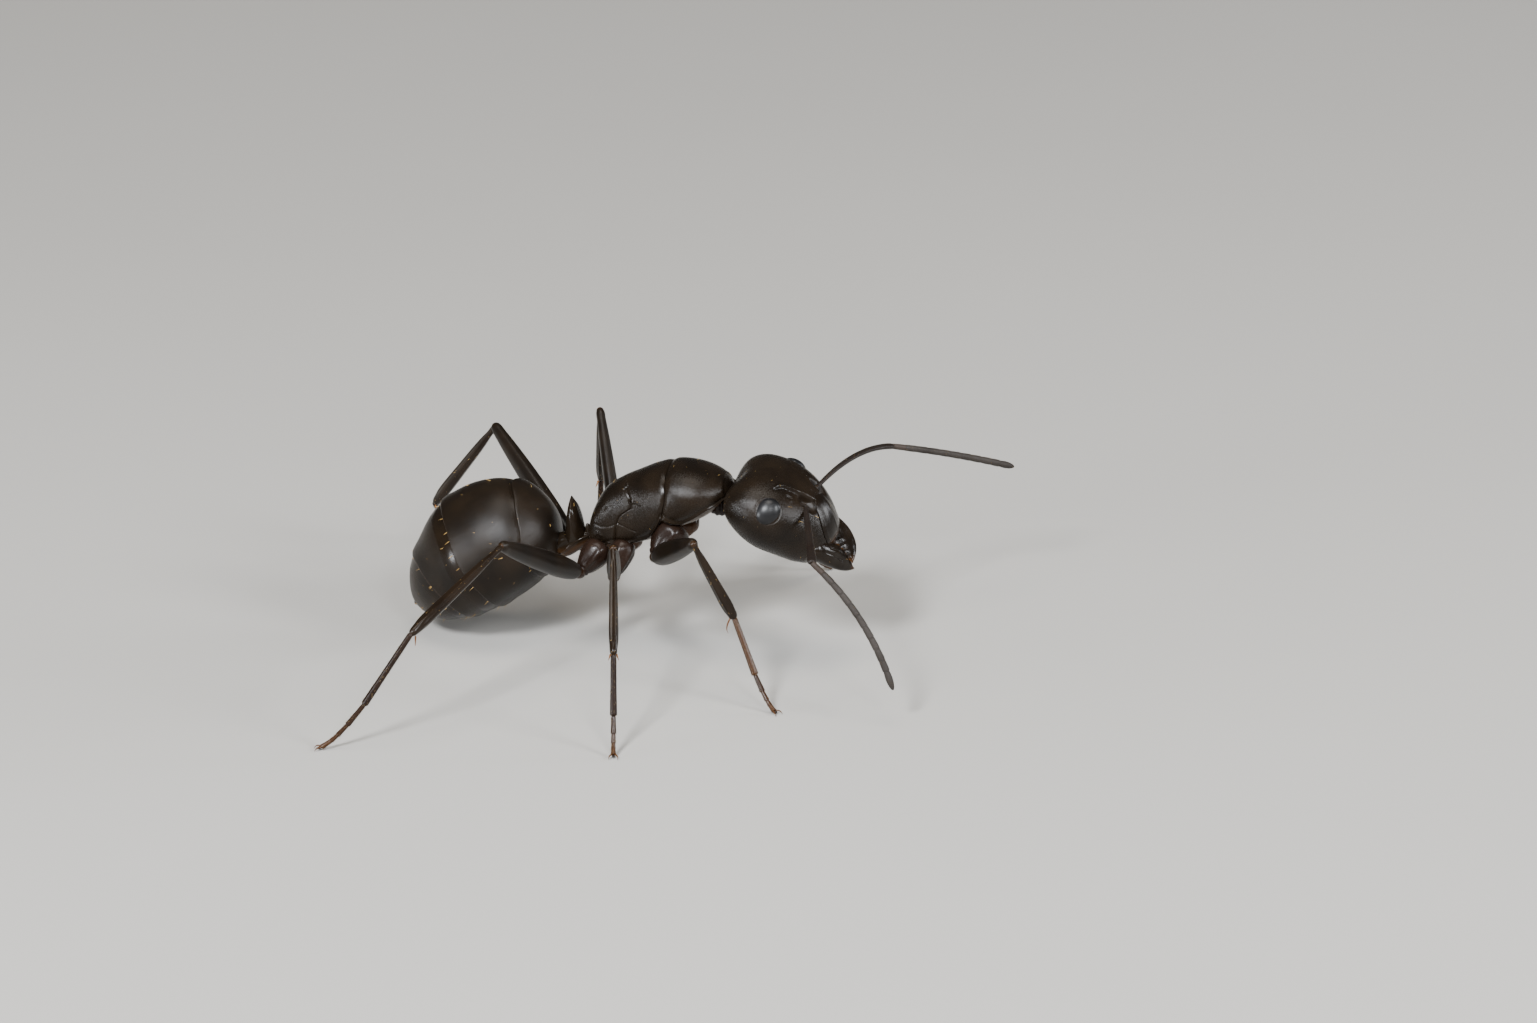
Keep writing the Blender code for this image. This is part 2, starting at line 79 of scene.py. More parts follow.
TRUNK = (
    (-0.69, 0.00, 2.88, 2.88, 2.2),
    (-0.61, 0.43, 3.44, 2.63, 2.2),
    (-0.32, 0.59, 4.02, 2.58, 2.4),
    (0.10, 0.64, 4.34, 2.64, 2.4),
    (0.50, 0.70, 4.54, 2.68, 2.4),
    (0.95, 0.86, 4.74, 2.84, 2.3),
    (1.45, 1.00, 4.86, 3.13, 2.2),
    (2.00, 0.98, 4.82, 3.38, 2.1),
    (2.45, 0.76, 4.67, 3.68, 2.0),
    (2.72, 0.40, 4.46, 4.00, 2.0),
    (2.82, 0.00, 4.24, 4.24, 2.0),
)
# Edges across the body as (degrees down from the middle of the back, place along the axis).
PRONOTUM_EDGE = ((0, 1.27), (40, 1.27), (62, 1.30), (82, 1.31), (98, 1.24), (110, 1.20), (180, 1.18))
MESOTHORAX_EDGE = (
    (0, 0.24), (26, 0.26), (36, 0.23), (46, 0.30), (60, 0.39), (70, 0.44), (80, 0.43), (86, 0.20), (94, 0.09),
    (134, 0.03), (180, 0.02),
)
SUTURES = {PRONOTUM_EDGE: (-0.034, 0, 0.075), MESOTHORAX_EDGE: (-0.014, 0, 0.040)}
SUTURE_FADE = (15, 45)      # degrees down from the back over which the mesothorax's suture comes in
PLATE_ROLL, MESOTHORAX_ROLL = 0.026, 0.012
SUTURE_SHINE = (0.8, 0, 0.05)
# The lower rim of the trunk's side plates, as (place along the axis, degrees down from the back).
TRUNK_RIM = (
    (-0.70, 140), (-0.51, 148), (-0.36, 141), (-0.11, 134), (0.06, 135), (0.22, 137), (0.65, 134),
    (0.90, 130), (1.14, 112), (1.26, 105), (1.46, 116), (1.68, 124), (1.98, 120), (2.31, 111), (2.57, 106),
    (2.82, 92),
)
RIM_MOUNDS = ((0.032, -3, 3), (-0.012, -9, 4))      # a bead along the rim and a groove over it, in degrees
RIM_STEP, RIM_STEP_REACH = 0.10, (0.5, 7.0)         # how far the side lies back below the rim
RIM_SHINE = (0.75, -3, 4.5)
SIDE_SHINE, SIDE_SHINE_REACH = 0.4, (2, 8)
SIDE_THIN, SIDE_THIN_REACH = 0.030, (2, 10)
CHEST_THIN, CHEST_THIN_REACH, CHEST_REACH = 0.105, (2, 12), (-0.2, 0.6)
SIDE_FADE = (0.20, 0.35)    # the forms on the sides come in over this distance from the middle
SPIRACLE = (0.44, 3.97)     # a breathing hole, as (X, Z) like the seams below
SPIRACLE_MOUNDS = ((0.018, 0.045, 0.018), (-0.030, 0.0, 0.028))
WRINKLE_PITCH, WRINKLE_SLANT, WRINKLE_HEIGHT = 0.055, 0.25, 0.006
WRINKLE_OVAL = ((-0.32, 3.42), (0.26, 0.10))        # middle and half sizes
TRUNK_SEAMS = (             # (width, height, line)
    (0.020, -0.018, ((0.10, 3.40), (0.30, 3.33), (0.42, 3.27), (0.56, 3.24))),
    (0.022, -0.016, ((-0.52, 3.32), (-0.30, 3.26), (-0.10, 3.28), (0.06, 3.36))),
    (0.020, 0.016, ((0.48, 3.95), (0.58, 3.98), (0.70, 3.95))),
    (0.035, 0.022, ((-0.46, 3.02), (-0.38, 3.10), (-0.30, 3.04))),
    (0.018, -0.014, ((-0.20, 3.66), (-0.16, 3.76))),
    (0.018, 0.006, ((-0.24, 3.64), (-0.26, 3.72), (-0.20, 3.80))),
    (0.020, 0.012, ((1.34, 3.58), (1.50, 3.50), (1.72, 3.52))),
    (0.022, 0.014, ((0.22, 4.22), (0.32, 4.30), (0.26, 4.40))),
)
COLLAR, COLLAR_LEAN, COLLAR_BEAD = 2.66, 0.10, (0.016, 0, 0.035)
COLLAR_STEP, COLLAR_STEP_REACH = 0.020, (0.02, 0.07)

GASTER = (
    (-4.30, 0.00, 0.08, 0.08, 2.0),
    (-3.95, 0.60, 0.80, -0.58, 2.0),
    (-3.30, 1.08, 1.34, -0.88, 2.0),
    (-2.50, 1.42, 1.77, -1.03, 2.0),
    (-1.70, 1.49, 1.86, -1.05, 2.0),
    (-0.96, 1.32, 1.67, -0.93, 2.0),
    (-0.48, 1.00, 1.33, -0.62, 2.0),
    (-0.18, 0.60, 0.95, -0.22, 2.0),
    (-0.03, 0.00, 0.38, 0.38, 2.0),
)
GASTER_FRONT, GASTER_PITCH = (-1.42, 0.0, 3.13), -34.0
GASTER_SAG = 0.20           # how far its widest level lies below the middle
GASTER_EDGES = (
    ((0, -0.52), (32, -0.47), (50, -0.50), (65, -0.54), (79, -0.60), (92, -0.73), (130, -0.93),
     (180, -1.00)),
    ((0, -2.28), (36, -2.17), (54, -2.17), (70, -2.22), (83, -2.24), (113, -2.20), (138, -2.24),
     (180, -2.30)),
    ((0, -3.60), (24, -3.55), (47, -3.42), (61, -3.35), (87, -3.22), (96, -3.16), (140, -3.07),
     (180, -3.02)),
)
GASTER_OVERLAP, GASTER_ROLL = 0.22, 0.016
GASTER_STEP, FIRST_STEP, FIRST_STEP_FADE = (0.038, 0, 0.24), (0.045, 0, 0.24), (5, 75)
GASTER_RIM, GASTER_TUCK = (-0.012, 0, 0.018), (-0.012, 0, 0.16)
SMOOTH_BANDS = ((0.07, 0.5), (0.36, 0.85), (0.22, 0.85))    # width and gloss of the strip behind each edge
GASTER_TIP, TIP_RADIUS = ((-4.22, 0, 0.06), (-4.36, 0, 0.00)), 0.07

SCALE = (                   # the waist's upright scale as it shows above its stalk
    (2.46, 0.00, -1.12, -1.12, 2.0),
    (2.58, 0.20, -0.84, -1.38, 2.0),
    (2.80, 0.29, -0.80, -1.34, 2.0),
    (3.02, 0.34, -0.86, -1.29, 2.0),
    (3.26, 0.35, -0.925, -1.265, 1.9),
    (3.48, 0.28, -1.00, -1.24, 1.8),
    (3.67, 0.12, -1.10, -1.20, 1.7),
    (3.77, 0.00, -1.16, -1.16, 1.7),
)
SCALE_SHOULDER, SCALE_SHOULDER_REACH, SCALE_CREASE = (0.010, 0.26, 0.06), (2.9, 3.2), (-0.006, 0, 0.04)
STALK, STALK_RADIUS = ((-1.60, 0.0, 2.52), (-0.60, 0.0, 2.78)), 0.26
STALK_FORM = (
    (0.0, 0, 0, 0, 2), (0.02, 0.70, 0.62, -0.80, 2), (0.14, 0.95, 0.85, -1.25, 2.1),
    (0.30, 1.05, 0.95, -1.35, 2.2), (0.50, 1.0, 0.92, -1.10, 2.2), (0.72, 0.86, 0.80, -0.72, 2.1),
    (0.90, 0.62, 0.62, -0.42, 2), (0.99, 0.45, 0.50, -0.34, 2), (1.0, 0, 0, 0, 2),
)
STALK_LEDGE = ((0.030, 0, 0.16), (-0.030, 0.34, 0.16))
LEDGE_START, LEDGE_CLIMB, LEDGE_REACH = -0.55, 1.1, (0.08, 0.2)     # where it starts and how much it climbs
STALK_LOBE, LOBE_RADIUS = ((-0.66, 0.17, 2.86), (-0.71, 0.27, 3.20)), 0.075     # on the left, mirrored

HEAD = (
    (-1.30, 0.00, -0.12, -0.12, 2.0),
    (-1.20, 0.72, 0.24, -0.50, 2.1),
    (-0.90, 1.14, 0.56, -0.80, 2.2),
    (-0.42, 1.33, 0.79, -0.95, 2.2),
    (0.10, 1.32, 0.88, -0.96, 2.2),
    (0.62, 1.17, 0.82, -0.82, 2.2),
    (1.10, 0.96, 0.60, -0.64, 2.3),
    (1.42, 0.66, 0.36, -0.42, 2.2),
    (1.55, 0.00, 0.00, 0.00, 2.0),
)
HEAD_CENTRE, HEAD_TURN = (3.91, 0.0, 3.93), (13.0, 38.0, 4.0)      # roll, pitch and yaw
LOBE_DEPTH, LOBE_START, LOBE_LENGTH, LOBE_WIDTH, LOBE_BALANCE = 0.26, -0.10, 1.30, 1.10, 0.4
EYE_CENTRE, EYE_RADII, EYE_TILT, EYE_LEAN = (-0.25, 1.12, 0.40), (0.295, 0.335, 0.17), 55.0, -8.0
EYE_DEPTH = 0.046           # how much deeper the fine eye sits than its solid
EYE_GROOVE = (-0.012, 0.305, 0.016)
CARINA = (                  # the line of the forehead's ridge, (X, distance from the middle)
    (0.52, 0.17), (0.36, 0.24), (0.20, 0.30), (0.04, 0.36), (-0.12, 0.40), (-0.28, 0.44), (-0.38, 0.50),
    (-0.44, 0.60),
)
RIDGE_WIDTHS, RIDGE_GROOVE = (0.020, 0.075), (-0.040, 0.048, 0.030)     # widths outside and inside its crest
RIDGE_REAR, RIDGE_FRONT = (-0.50, -0.40), (0.48, 0.60)
FACE_REACH, SHINE_REACH = (0.15, 0.40), (0.3, 0.5)  # how high on the head its face's forms and gloss begin
SOCKET, SOCKET_SHINE, SOCKET_HEIGHT = (0.40, 0.38), (0.26, 0.17), 0.70
PIT, PIT_SIZE, PIT_SHADE = (0.40, 0.40), (0.23, 0.15), (0.27, 0.18)
# Hollows and bumps on the face as (height, middle, half sizes, power); power 2 is round, 4 has a flat floor.
FACE_OVALS = (
    (-0.20, PIT, PIT_SIZE, 4),
    (-0.030, (0.06, 0.50), (0.30, 0.12), 2),
    (-0.034, (-0.04, 0.64), (0.080, 0.034), 4),
    (0.012, (0.04, 0.66), (0.03, 0.05), 2),
)
FRONS_SEAM, FRONS_REAR, FRONS_FRONT = (-0.010, 0, 0.022), (-0.75, -0.45), (0.35, 0.45)
NAPE_DEPTH, NAPE_OVAL, NAPE_REACH = 0.07, ((0, -0.05), (0.30, 0.26)), (0.9, 1.1)
UNDER_REACH, UNDER_SEAM = (-0.6, -0.4), (-0.020, 0, 0.020)
CHIN_LINE, CHIN_GROOVE = ((1.12, 0.12), (1.05, 0.45), (1.18, 0.80)), (-0.030, 0, 0.05)
JAW_LINE, JAW_GROOVE = ((1.34, 0.34), (1.26, 0.16), (1.24, -0.10), (1.30, -0.34)), (-0.030, 0, 0.035)
JAW_REACH, MOUTH_REACH = (0.45, 0.60), (1.30, 1.48)
SCAPE_SOCKET = (0.55, 0.42, 0.85)
CLYPEUS = (                 # (place along the head, half width, lift of its middle)
    (0.46, 0.00, 0.00), (0.52, 0.21, 0.02), (0.64, 0.32, 0.05), (0.84, 0.40, 0.08), (1.04, 0.48, 0.09),
    (1.22, 0.52, 0.08), (1.38, 0.47, 0.06), (1.46, 0.30, 0.03), (1.48, 0.00, 0.00),
)
CLYPEUS_GROOVE, CLYPEUS_THICKNESS, CLYPEUS_SINK, CLYPEUS_TAPER = (-0.018, 0, 0.022), 0.020, 0.08, 0.16
ROOF_POWERS, RISE_POWER = (1.5, 0.9), 0.5
CLYPEUS_BEND, CLYPEUS_SLOPE, CLYPEUS_MARGIN = 1.43, 0.9, (1.36, 1.50)   # past the bend it slopes down
CLYPEUS_BEAD, CLYPEUS_KEEL, KEEL_REACH = (0.014, 0.86, 0.07), (0.012, 0, 0.06), (0.55, 0.7)
MANDIBLE = (                # (place along it, outer edge, inner edge, half thickness)
    (-0.30, 0.00, 0.00, 0.00),
    (-0.20, 0.20, -0.18, 0.17),
    (0.00, 0.27, -0.22, 0.22),
    (0.30, 0.30, -0.26, 0.21),
    (0.52, 0.29, -0.33, 0.17),
    (0.75, 0.25, -0.29, 0.13),
    (0.95, 0.17, -0.19, 0.09),
    (1.10, 0.07, -0.10, 0.06),
    (1.18, 0.00, -0.05, 0.03),
    (1.21, -0.03, -0.03, 0.00),
)
# Where each mandible hangs: its root on the head, how far it turns in, drops and rolls, and its outward bow.
JAWS = {
    "right": {"root": (1.30, -0.60, 0.11), "turn": 30, "drop": 11, "roll": 26, "bow": -0.05},
    "left": {"root": (1.16, 0.57, 0.10), "turn": 31, "drop": 2.5, "roll": -14, "bow": 0.13},
}
TEETH, TEETH_START, TEETH_END, TEETH_RISE, TEETH_FALL = 4, 0.50, 1.12, (0.50, 0.55), (1.10, 1.13)
TOOTH_DEPTH, TOOTH_POWER, TOOTH_ROOT, TOOTH_ROOT_RISE = 0.035, 0.8, 0.02, (0.50, 0.60)
BITE_END, BOW_LENGTH = 1.18, 1.24
BLADE_GROOVE = (-0.012, 0, 0.028)
BLADE_LINES = (((0.10, 0.10), (0.42, 0.08), (0.66, 0.06)), ((0.20, -0.06), (0.50, -0.10), (0.80, -0.12)))
# The mouth's soft parts as (sideways lean, start, end, radius), the palps as (distance out, knots in X, Z).
MOUTH = (
    (0.0, (0.95, 0, -0.46), (1.46, 0, -0.20), 0.17),
    (0.3, (0.95, 0.24, -0.48), (1.42, 0.22, -0.22), 0.14),
    (-0.3, (0.95, -0.24, -0.48), (1.42, -0.22, -0.22), 0.14),
    (0.0, (1.30, 0, 0.02), (1.60, 0, 0.05), 0.20),
)
PALP_RADIUS = 0.034
PALPS = (
    (0.30, ((1.30, -0.46), (1.14, -0.62), (0.90, -0.74), (0.70, -0.81), (0.52, -0.86))),
    (0.10, ((1.36, -0.42), (1.22, -0.58), (1.06, -0.69), (0.92, -0.76))),
)

NECK, NECK_RADIUS = ((2.30, 0.0, 3.88), (3.10, 0.0, 3.84)), 0.26
NECK_RING_HEIGHT, NECK_WAVE = 0.010, 40     # the wave is in radians along the neck

# Feelers: each length's azimuth, elevation and length, then how far its middle bows.
FEELERS = {
    "right": {"scape": (-78, -9, 2.70, (0, 0, 0)), "funiculus": (-11, -54, 3.50, (0.19, 0, 0.17))},
    "left": {"scape": (69, 4, 2.95, (0, 0, 0.28)), "funiculus": (47, -19, 3.80, (0, 0, 0.05))},
}
FUNICULUS_JOINTS = (0.0, 0.10, 0.19, 0.28, 0.37, 0.46, 0.55, 0.635, 0.715, 0.795, 0.87, 1.0)
# Shares of the rings' radius, and how much it grows from ring to ring.
FIRST_RING, OTHER_RINGS, RING_GROWTH = 0.82, 0.90, 0.010

# Where the coxa's root and the hip lie on the left, and the lengths and radii. shin is a share of the shin's
# radius, spurs holds how each spur leans to the side, and the last two are the spurs' length and bow.
LEGS = {
    "front": {"coxa": (1.50, 0.46, 3.34), "hip": (1.08, 0.86, 2.71), "femur": 3.00, "tibia": 2.20,
              "coxa_radius": 0.39, "femur_radius": 0.26, "shin": 1.0, "spurs": (0,), "spur": 0.36,
              "spur_bow": 0.07},
    "middle": {"coxa": (0.24, 0.42, 2.80), "hip": (0.16, 0.86, 2.13), "femur": 3.60, "tibia": 2.80,
               "coxa_radius": 0.28, "femur_radius": 0.21, "shin": 0.95, "spurs": (-1, 1), "spur": 0.17,
               "spur_bow": 0.01},
    "hind": {"coxa": (-0.34, 0.42, 2.70), "hip": (-0.74, 0.86, 2.16), "femur": 4.00, "tibia": 3.50,
             "coxa_radius": 0.31, "femur_radius": 0.26, "shin": 1.0, "spurs": (-1, 1), "spur": 0.24,
             "spur_bow": 0.01},
}
# Each pose gives the femur's and the tibia's (azimuth, elevation), and the tarsus as its azimuth and how far
# out it reaches on its way down to the floor. A swing moves the hip forwards, left and up.
POSES = {
    ("front", "right"): {"femur": (-57, 25), "tibia": (30, -63), "tarsus": (-33, 1.35)},
    ("middle", "right"): {"femur": (-76, 31), "tibia": (-76, -41), "tarsus": (-77, 1.00),
                          "swing": (-0.08, 0, 0)},
    ("hind", "right"): {"femur": (-106, 27), "tibia": (-115, -20), "tarsus": (-162, 2.12)},
    ("front", "left"): {"femur": (78, 9), "tibia": (40.8, -42.0), "tarsus": (62, 1.73)},
    ("middle", "left"): {"femur": (116, 50), "tibia": (104, -56), "tarsus": (108, 1.16),
                         "swing": (-0.34, 0, 0)},
    ("hind", "left"): {"femur": (137.2, 29.3), "tibia": (145, -48), "tarsus": (89, 2.08),
                       "swing": (-0.58, 0, 0.06)},
}
TROCHANTER_BACK, TROCHANTER_AHEAD, TROCHANTER_RADIUS = 0.14, 0.30, 0.150
KNEE_REACH, KNEE_RADIUS = 0.09, 0.090
# A spur starts so far back, inwards and sideways of the ankle, and leans that way from the heel's direction.
SPUR_ROOT, SPUR_INWARDS, SPUR_SIDEWAYS, SPUR_RADIUS, HEEL_SHARE = (0.07, 0.08, 0.07), 0.55, 0.45, 0.020, 0.2
TARSUS_CURL = 1.35
TARSUS_JOINTS = (0.0, 0.52, 0.70, 0.81, 0.88, 0.985)
TARSOMERE_SIZES = (1.18, 0.95, 0.86, 0.82, 0.90)
# On the foot's own axes, ahead, out and up: the pad's ends, and a claw's root, tip and the bow of its middle.
PAD, PAD_RADIUS = np.array([(-0.01, 0, 0), (0.09, 0, -0.02)]), 0.034
CLAW, CLAW_RADIUS = np.array([(0, 0.03, 0.01), (0.17, 0.10, 0), (0.02, 0.025, 0.035)]), 0.020
CLAW_HEIGHT = 0.012         # of its tip over the floor
# Ridges along a limb as (height, number, turn), then the shares over which they come and go.
COXA_RIBS = (0.016, 7, 0.5), (0.0, 0.3), (0.65, 0.92)
COXA_GROOVE = (-0.022, 0.86, 0.03)
TIBIA_FLUTES = (0.011, 5, 0.6), (0.06, 0.2), (0.86, 0.94)
FEMUR_KEEL = (0.010, 0.75, 0.5 / 6), (0.1, 0.2), (0.85, 0.95)
# How thin a limb's shell looks: (at its root, full to share, none from) and (at its end, none to, full from).
SCAPE_THIN = (0.04, 0.02, 0.06), (0.02, 0.95, 0.99)
FEMUR_THIN = (0.05, 0.05, 0.16), (0.04, 0.945, 0.985)
TIBIA_THIN, SHIN_THIN = ((0.05, 0.02, 0.07), (0.05, 0.90, 0.98)), 0.010
# Painted light: amber on the coxae's lower sides, for light shining through their thin shell from behind.
COXA_UNDERSIDE_GLOW, COXA_GLOW_REACH = 0.13, (0.0, 0.9)
FIRST_RING_THIN, FOOT_THIN, FRONT_FOOT_THIN = 0.03, 0.03, 0.10
LIMB_MARKS = {
    "coxa": {"gloss": 0.20}, "trochanter": {"gloss": 0.30, "thin": 0.05},
    "femur": {"gloss": 0.35, "matt": 0.18}, "tibia": {"gloss": 0.55}, "knee": {"gloss": 0.7, "thin": 0.06},
    "spur": {"gloss": 0.4}, "tarsomere": {"gloss": 0.35}, "claw": {"gloss": 0.6, "thin": 0.25},
}

SEED = 11
HAIR_STEPS, HAIR_TAPER = (0.0, 0.4, 0.75), 0.75     # shares of a hair with a ring of corners
HAIR_STRAY, HAIR_SINK, HAIR_SAG, LENGTH_SPREAD = 0.18, 0.01, 0.3, 0.35
HAIR_PATCH, TILE_MARGIN = 0.0015, 0.03              # on the unrolled map
UPRIGHT = 0.9               # a hair steeper than this is framed by the X axis, the others by the Z axis
# The row of bristles at a segment's edge: their normals point away from the line EDGE_AXIS along the gaster.
EDGE_COUNT, EDGE_WIDTH, EDGE_DROOP, EDGE_LENGTHS = 15, 0.0080, (0, 0, -0.15), (0.4, 1.0)
EDGE_INSET, EDGE_AXIS, EDGE_LIFT, EDGE_TURN_STRAY, EDGE_STRAY = 0.05, (0, 0, 0.4), 0.35, 0.05, 0.15
BODY = ("head", "clypeus", "mandible", "pronotum", "mesothorax", "propodeum", "petiole")
LEG, FEELER = ("coxa", "trochanter", "femur", "tibia"), ("scape", "funiculus")
# Each coat: its finish, the skins it grows on, how many hairs (on each skin, or by area to a square
# millimetre), the setting and the share of it for the length, then width, lift, droop, way and least height.
COATS = {
    "gaster_down": ("gold_bristle", ("gaster",), ("area", 5.0), ("down", 0.8), 0.0042, 0.16, 0.1, -1),
    "gaster_bristles": ("gold_bristle", ("gaster",), ("area", 0.9), ("bristle", 0.6), 0.0090, 0.30, 0.1, -1),
    "body_bristles": ("gold_bristle", BODY, ("area", 0.6), ("bristle", 0.5), 0.0045, 0.6, 0.2, 1, 3.2),
    "body_down": ("gold_bristle", BODY, ("area", 6.0), ("down", 0.6), 0.0038, 0.2, 0.1),
    "leg_down": ("brown_bristle", LEG, ("area", 18), ("down", 0.62), 0.0038, 0.18, 0.1),
    "leg_bristles": ("gold_bristle", ("tibia",), ("each", 36), ("down", 0.8), 0.0036, 0.35, 0.2),
    "foot_bristles": ("brown_bristle", ("tarsus",), ("area", 190), ("down", 0.72), 0.0042, 0.38, 0.2),
    "feeler_down": ("brown_bristle", FEELER, ("area", 240), ("down", 0.42), 0.0036, 0.30, 0.1),
}

FLOOR_HALF, FLOOR_LINES = 1.0, 41           # half its width in metres, and the lines across it
FLOOR_CLOUDS, FLOOR_PALER, FLOOR_ROUGHNESS = 0.05, 1.03, 0.9
VIEW_AZIMUTH, VIEW_ELEVATION, VIEW_DISTANCE = 13.0, 20.0, 183.0
VIEW_ACROSS, VIEW_UP = 3.536, 3.25          # what the view is centred on, from the ant's own origin
FOCAL_LENGTH, SENSOR, CLIP = 180.0, 36.0, (0.01, 10.0)
# Lamps as (azimuth, elevation, distance, width, watts, colour); azimuth 0 shines along +Y.
LAMPS = {
    "left_lamp": (-44, 5, 150, 28, 0.19, (0.93, 0.96, 1.0)),
    "main_lamp": (-11, 39, 150, 26, 0.42, (0.93, 0.96, 1.0)),
    "right_lamp": (28, 34, 150, 26, 0.10, (0.93, 0.96, 1.0)),
    "side_lamp": (70, 27, 150, 40, 0.24, (0.93, 0.96, 1.0)),
    "far_lamp": (114, 16, 150, 28, 0.09, (0.93, 0.96, 1.0)),
    "top_lamp": (10, 80, 190, 90, 0.19, (1.0, 0.95, 0.88)),
}
LAMP_TARGET = (1.0, 0.0, 2.5)
SKY_COLOUR, SKY_STRENGTH = (1.0, 0.975, 0.94, 1), 0.08


def round_form(*rows):
    """Rows of (share, radius) as stations of round sections."""
    return tuple((share, radius, radius, -radius, 2) for share, radius in rows)


# Lengths of limbs as (share of the length, half width, top, bottom, squareness), to be scaled by a radius.
COXA_FORM = (
    (-0.12, 0, 0, 0, 2), (-0.06, 0.76, 0.80, -0.80, 2.2), (0.14, 1.02, 1.08, -1.08, 2.6),
    (0.42, 0.92, 0.98, -1.00, 2.8), (0.72, 0.68, 0.72, -0.74, 2.6), (0.95, 0.46, 0.48, -0.50, 2.2),
    (1.04, 0, 0, 0, 2),
)
FEMUR_FORM = (
    (0.040, 0, 0, 0, 2), (0.050, 0.52, 0.54, -0.54, 2), (0.10, 0.66, 0.82, -0.84, 2.1),
    (0.26, 0.78, 1.0, -1.0, 2.3), (0.42, 0.78, 1.0, -1.0, 2.4), (0.60, 0.72, 0.96, -0.92, 2.4),
    (0.80, 0.62, 0.80, -0.74, 2.3), (0.93, 0.52, 0.64, -0.58, 2.2), (0.985, 0.50, 0.56, -0.46, 2),
    (1.012, 0.30, 0.36, -0.28, 2), (1.018, 0, 0, 0, 2),
)
TIBIA_FORM = (
    (-0.012, 0, 0, 0, 2), (-0.005, 0.46, 0.50, -0.46, 2), (0.03, 0.54, 0.58, -0.52, 2.2),
    (0.10, 0.50, 0.55, -0.54, 2.4), (0.30, 0.66, 0.76, -0.78, 2.8), (0.60, 0.78, 0.92, -0.92, 2.8),
    (0.80, 0.84, 1.02, -1.0, 2.7), (0.93, 0.74, 0.88, -0.84, 2.4), (0.985, 0.56, 0.62, -0.60, 2),
    (1.0, 0, 0, 0, 2),
)
SCAPE_FORM = (
    (0.0, 0, 0, 0, 2), (0.004, 0.52, 0.50, -0.50, 2), (0.025, 0.62, 0.60, -0.60, 2),
    (0.045, 0.46, 0.42, -0.42, 2), (0.10, 0.62, 0.44, -0.44, 2), (0.40, 0.84, 0.52, -0.52, 2),
    (0.75, 1.0, 0.62, -0.62, 2), (0.96, 1.12, 0.70, -0.70, 2), (0.995, 0.8, 0.54, -0.54, 2),
    (1.0, 0, 0, 0, 2),
)
TARSOMERE_FORM = round_form((-0.02, 0), (0.0, 0.62), (0.06, 0.82), (0.55, 0.90), (0.90, 1.0), (0.98, 0.92),
                            (1.0, 0))
RING_FORM = round_form((-0.01, 0), (0.0, 0.80), (0.10, 0.93), (0.60, 1.0), (0.92, 1.0), (0.99, 0.90),
                       (1.0, 0))
LAST_RING_FORM = round_form((-0.01, 0), (0.0, 0.72), (0.10, 0.88), (0.40, 1.0), (0.70, 0.84), (0.92, 0.46),
                            (1.0, 0))
SPIKE_FORM = round_form((0.0, 0), (0.01, 1), (0.4, 0.8), (0.8, 0.4), (1.0, 0))
BALL_FORM = round_form(*((0.5 - 0.5 * math.cos(turn), math.sin(turn)) for turn in np.linspace(0, math.pi, 9)))


# ---- surfaces ----

def axes(points):
    """X, Y and Z of an array of points, or the columns of a table, as arrays of their own."""
    return np.moveaxis(points, -1, 0)


def blend(rows, share, lofted=False):
    """Catmull-Rom curve through evenly spaced rows; share runs 0 to 1 over all of them.

    Past each end the rows go on straight, or for a loft, as the next station turned over its axis: its width
    changes sign, its top and bottom change places, and the pole between comes out round.
    """
    rows = np.asarray(rows, float)
    if lofted:
        turned_over = rows[:, [0, 1, 3, 2, 4]] * (1, -1, 1, 1, 1)
        before, after = turned_over[1], turned_over[-2]
    else:
        before, after = 2 * rows[0] - rows[1], 2 * rows[-1] - rows[-2]
    rows = np.vstack([before, rows, after])
    spans = len(rows) - 3
    span = np.clip((share * spans).astype(int), 0, spans - 1)
    part = (share * spans - span)[..., None]
    a, b, c, d = (rows[span + step] for step in range(4))
    bend, twist = 2 * a - 5 * b + 4 * c - d, 3 * b - a - 3 * c + d
    return 0.5 * (2 * b + (c - a) * part + bend * part ** 2 + twist * part ** 3)


def read_table(table, places):
    """The second column of a table at given places of its first, along a smooth curve through its rows."""
    table = np.asarray(table, float)
    return blend(table, np.interp(places, table[:, 0], np.linspace(0, 1, len(table))))[..., 1]


def signed_power(value, power):
    return np.sign(value) * np.abs(value) ** power


def loft(stations, share, angle):
    """Points of a loft: at each share of its stations a superellipse across the X axis, by its angle."""
    x, width, top, bottom, squareness = axes(blend(stations, share, lofted=True))
    power = 2 / squareness
    y = width * signed_power(np.cos(angle), power)
    z = (top + bottom) / 2 + (top - bottom) / 2 * signed_power(np.sin(angle), power)
    return np.stack(np.broadcast_arrays(x, y, z), axis=-1)


def shares(count):
    return np.linspace(0, 1, count)[:, None]


def angles(count):
    return np.linspace(0, TAU, count, endpoint=False)


def outward(points):
    """Unit normals of a grid whose columns wrap round: the cross product of its two directions."""
    around = np.roll(points, -1, axis=1) - np.roll(points, 1, axis=1)
    return unit(np.cross(around, np.gradient(points, axis=0)))


def swell(points, height):
    """Moves each point out along its normal by the height given for it."""
    return points + outward(points) * height[..., None]


def hill(distance, width=1.0):
    """A round hill: 1 at no distance, falling away as a bell curve of that width."""
    return np.exp(-(distance / width) ** 2)


def mound(value, shape):
    """A hill of a height and a width over one place, where the value passes it."""
    height, place, width = shape
    return height * hill(value - place, width)


def ramp(value, low, high):
    """0 below low, 1 above high and an S-shaped rise between."""
    share = np.clip((value - low) / (high - low), 0, 1)
    return share * share * (3 - 2 * share)


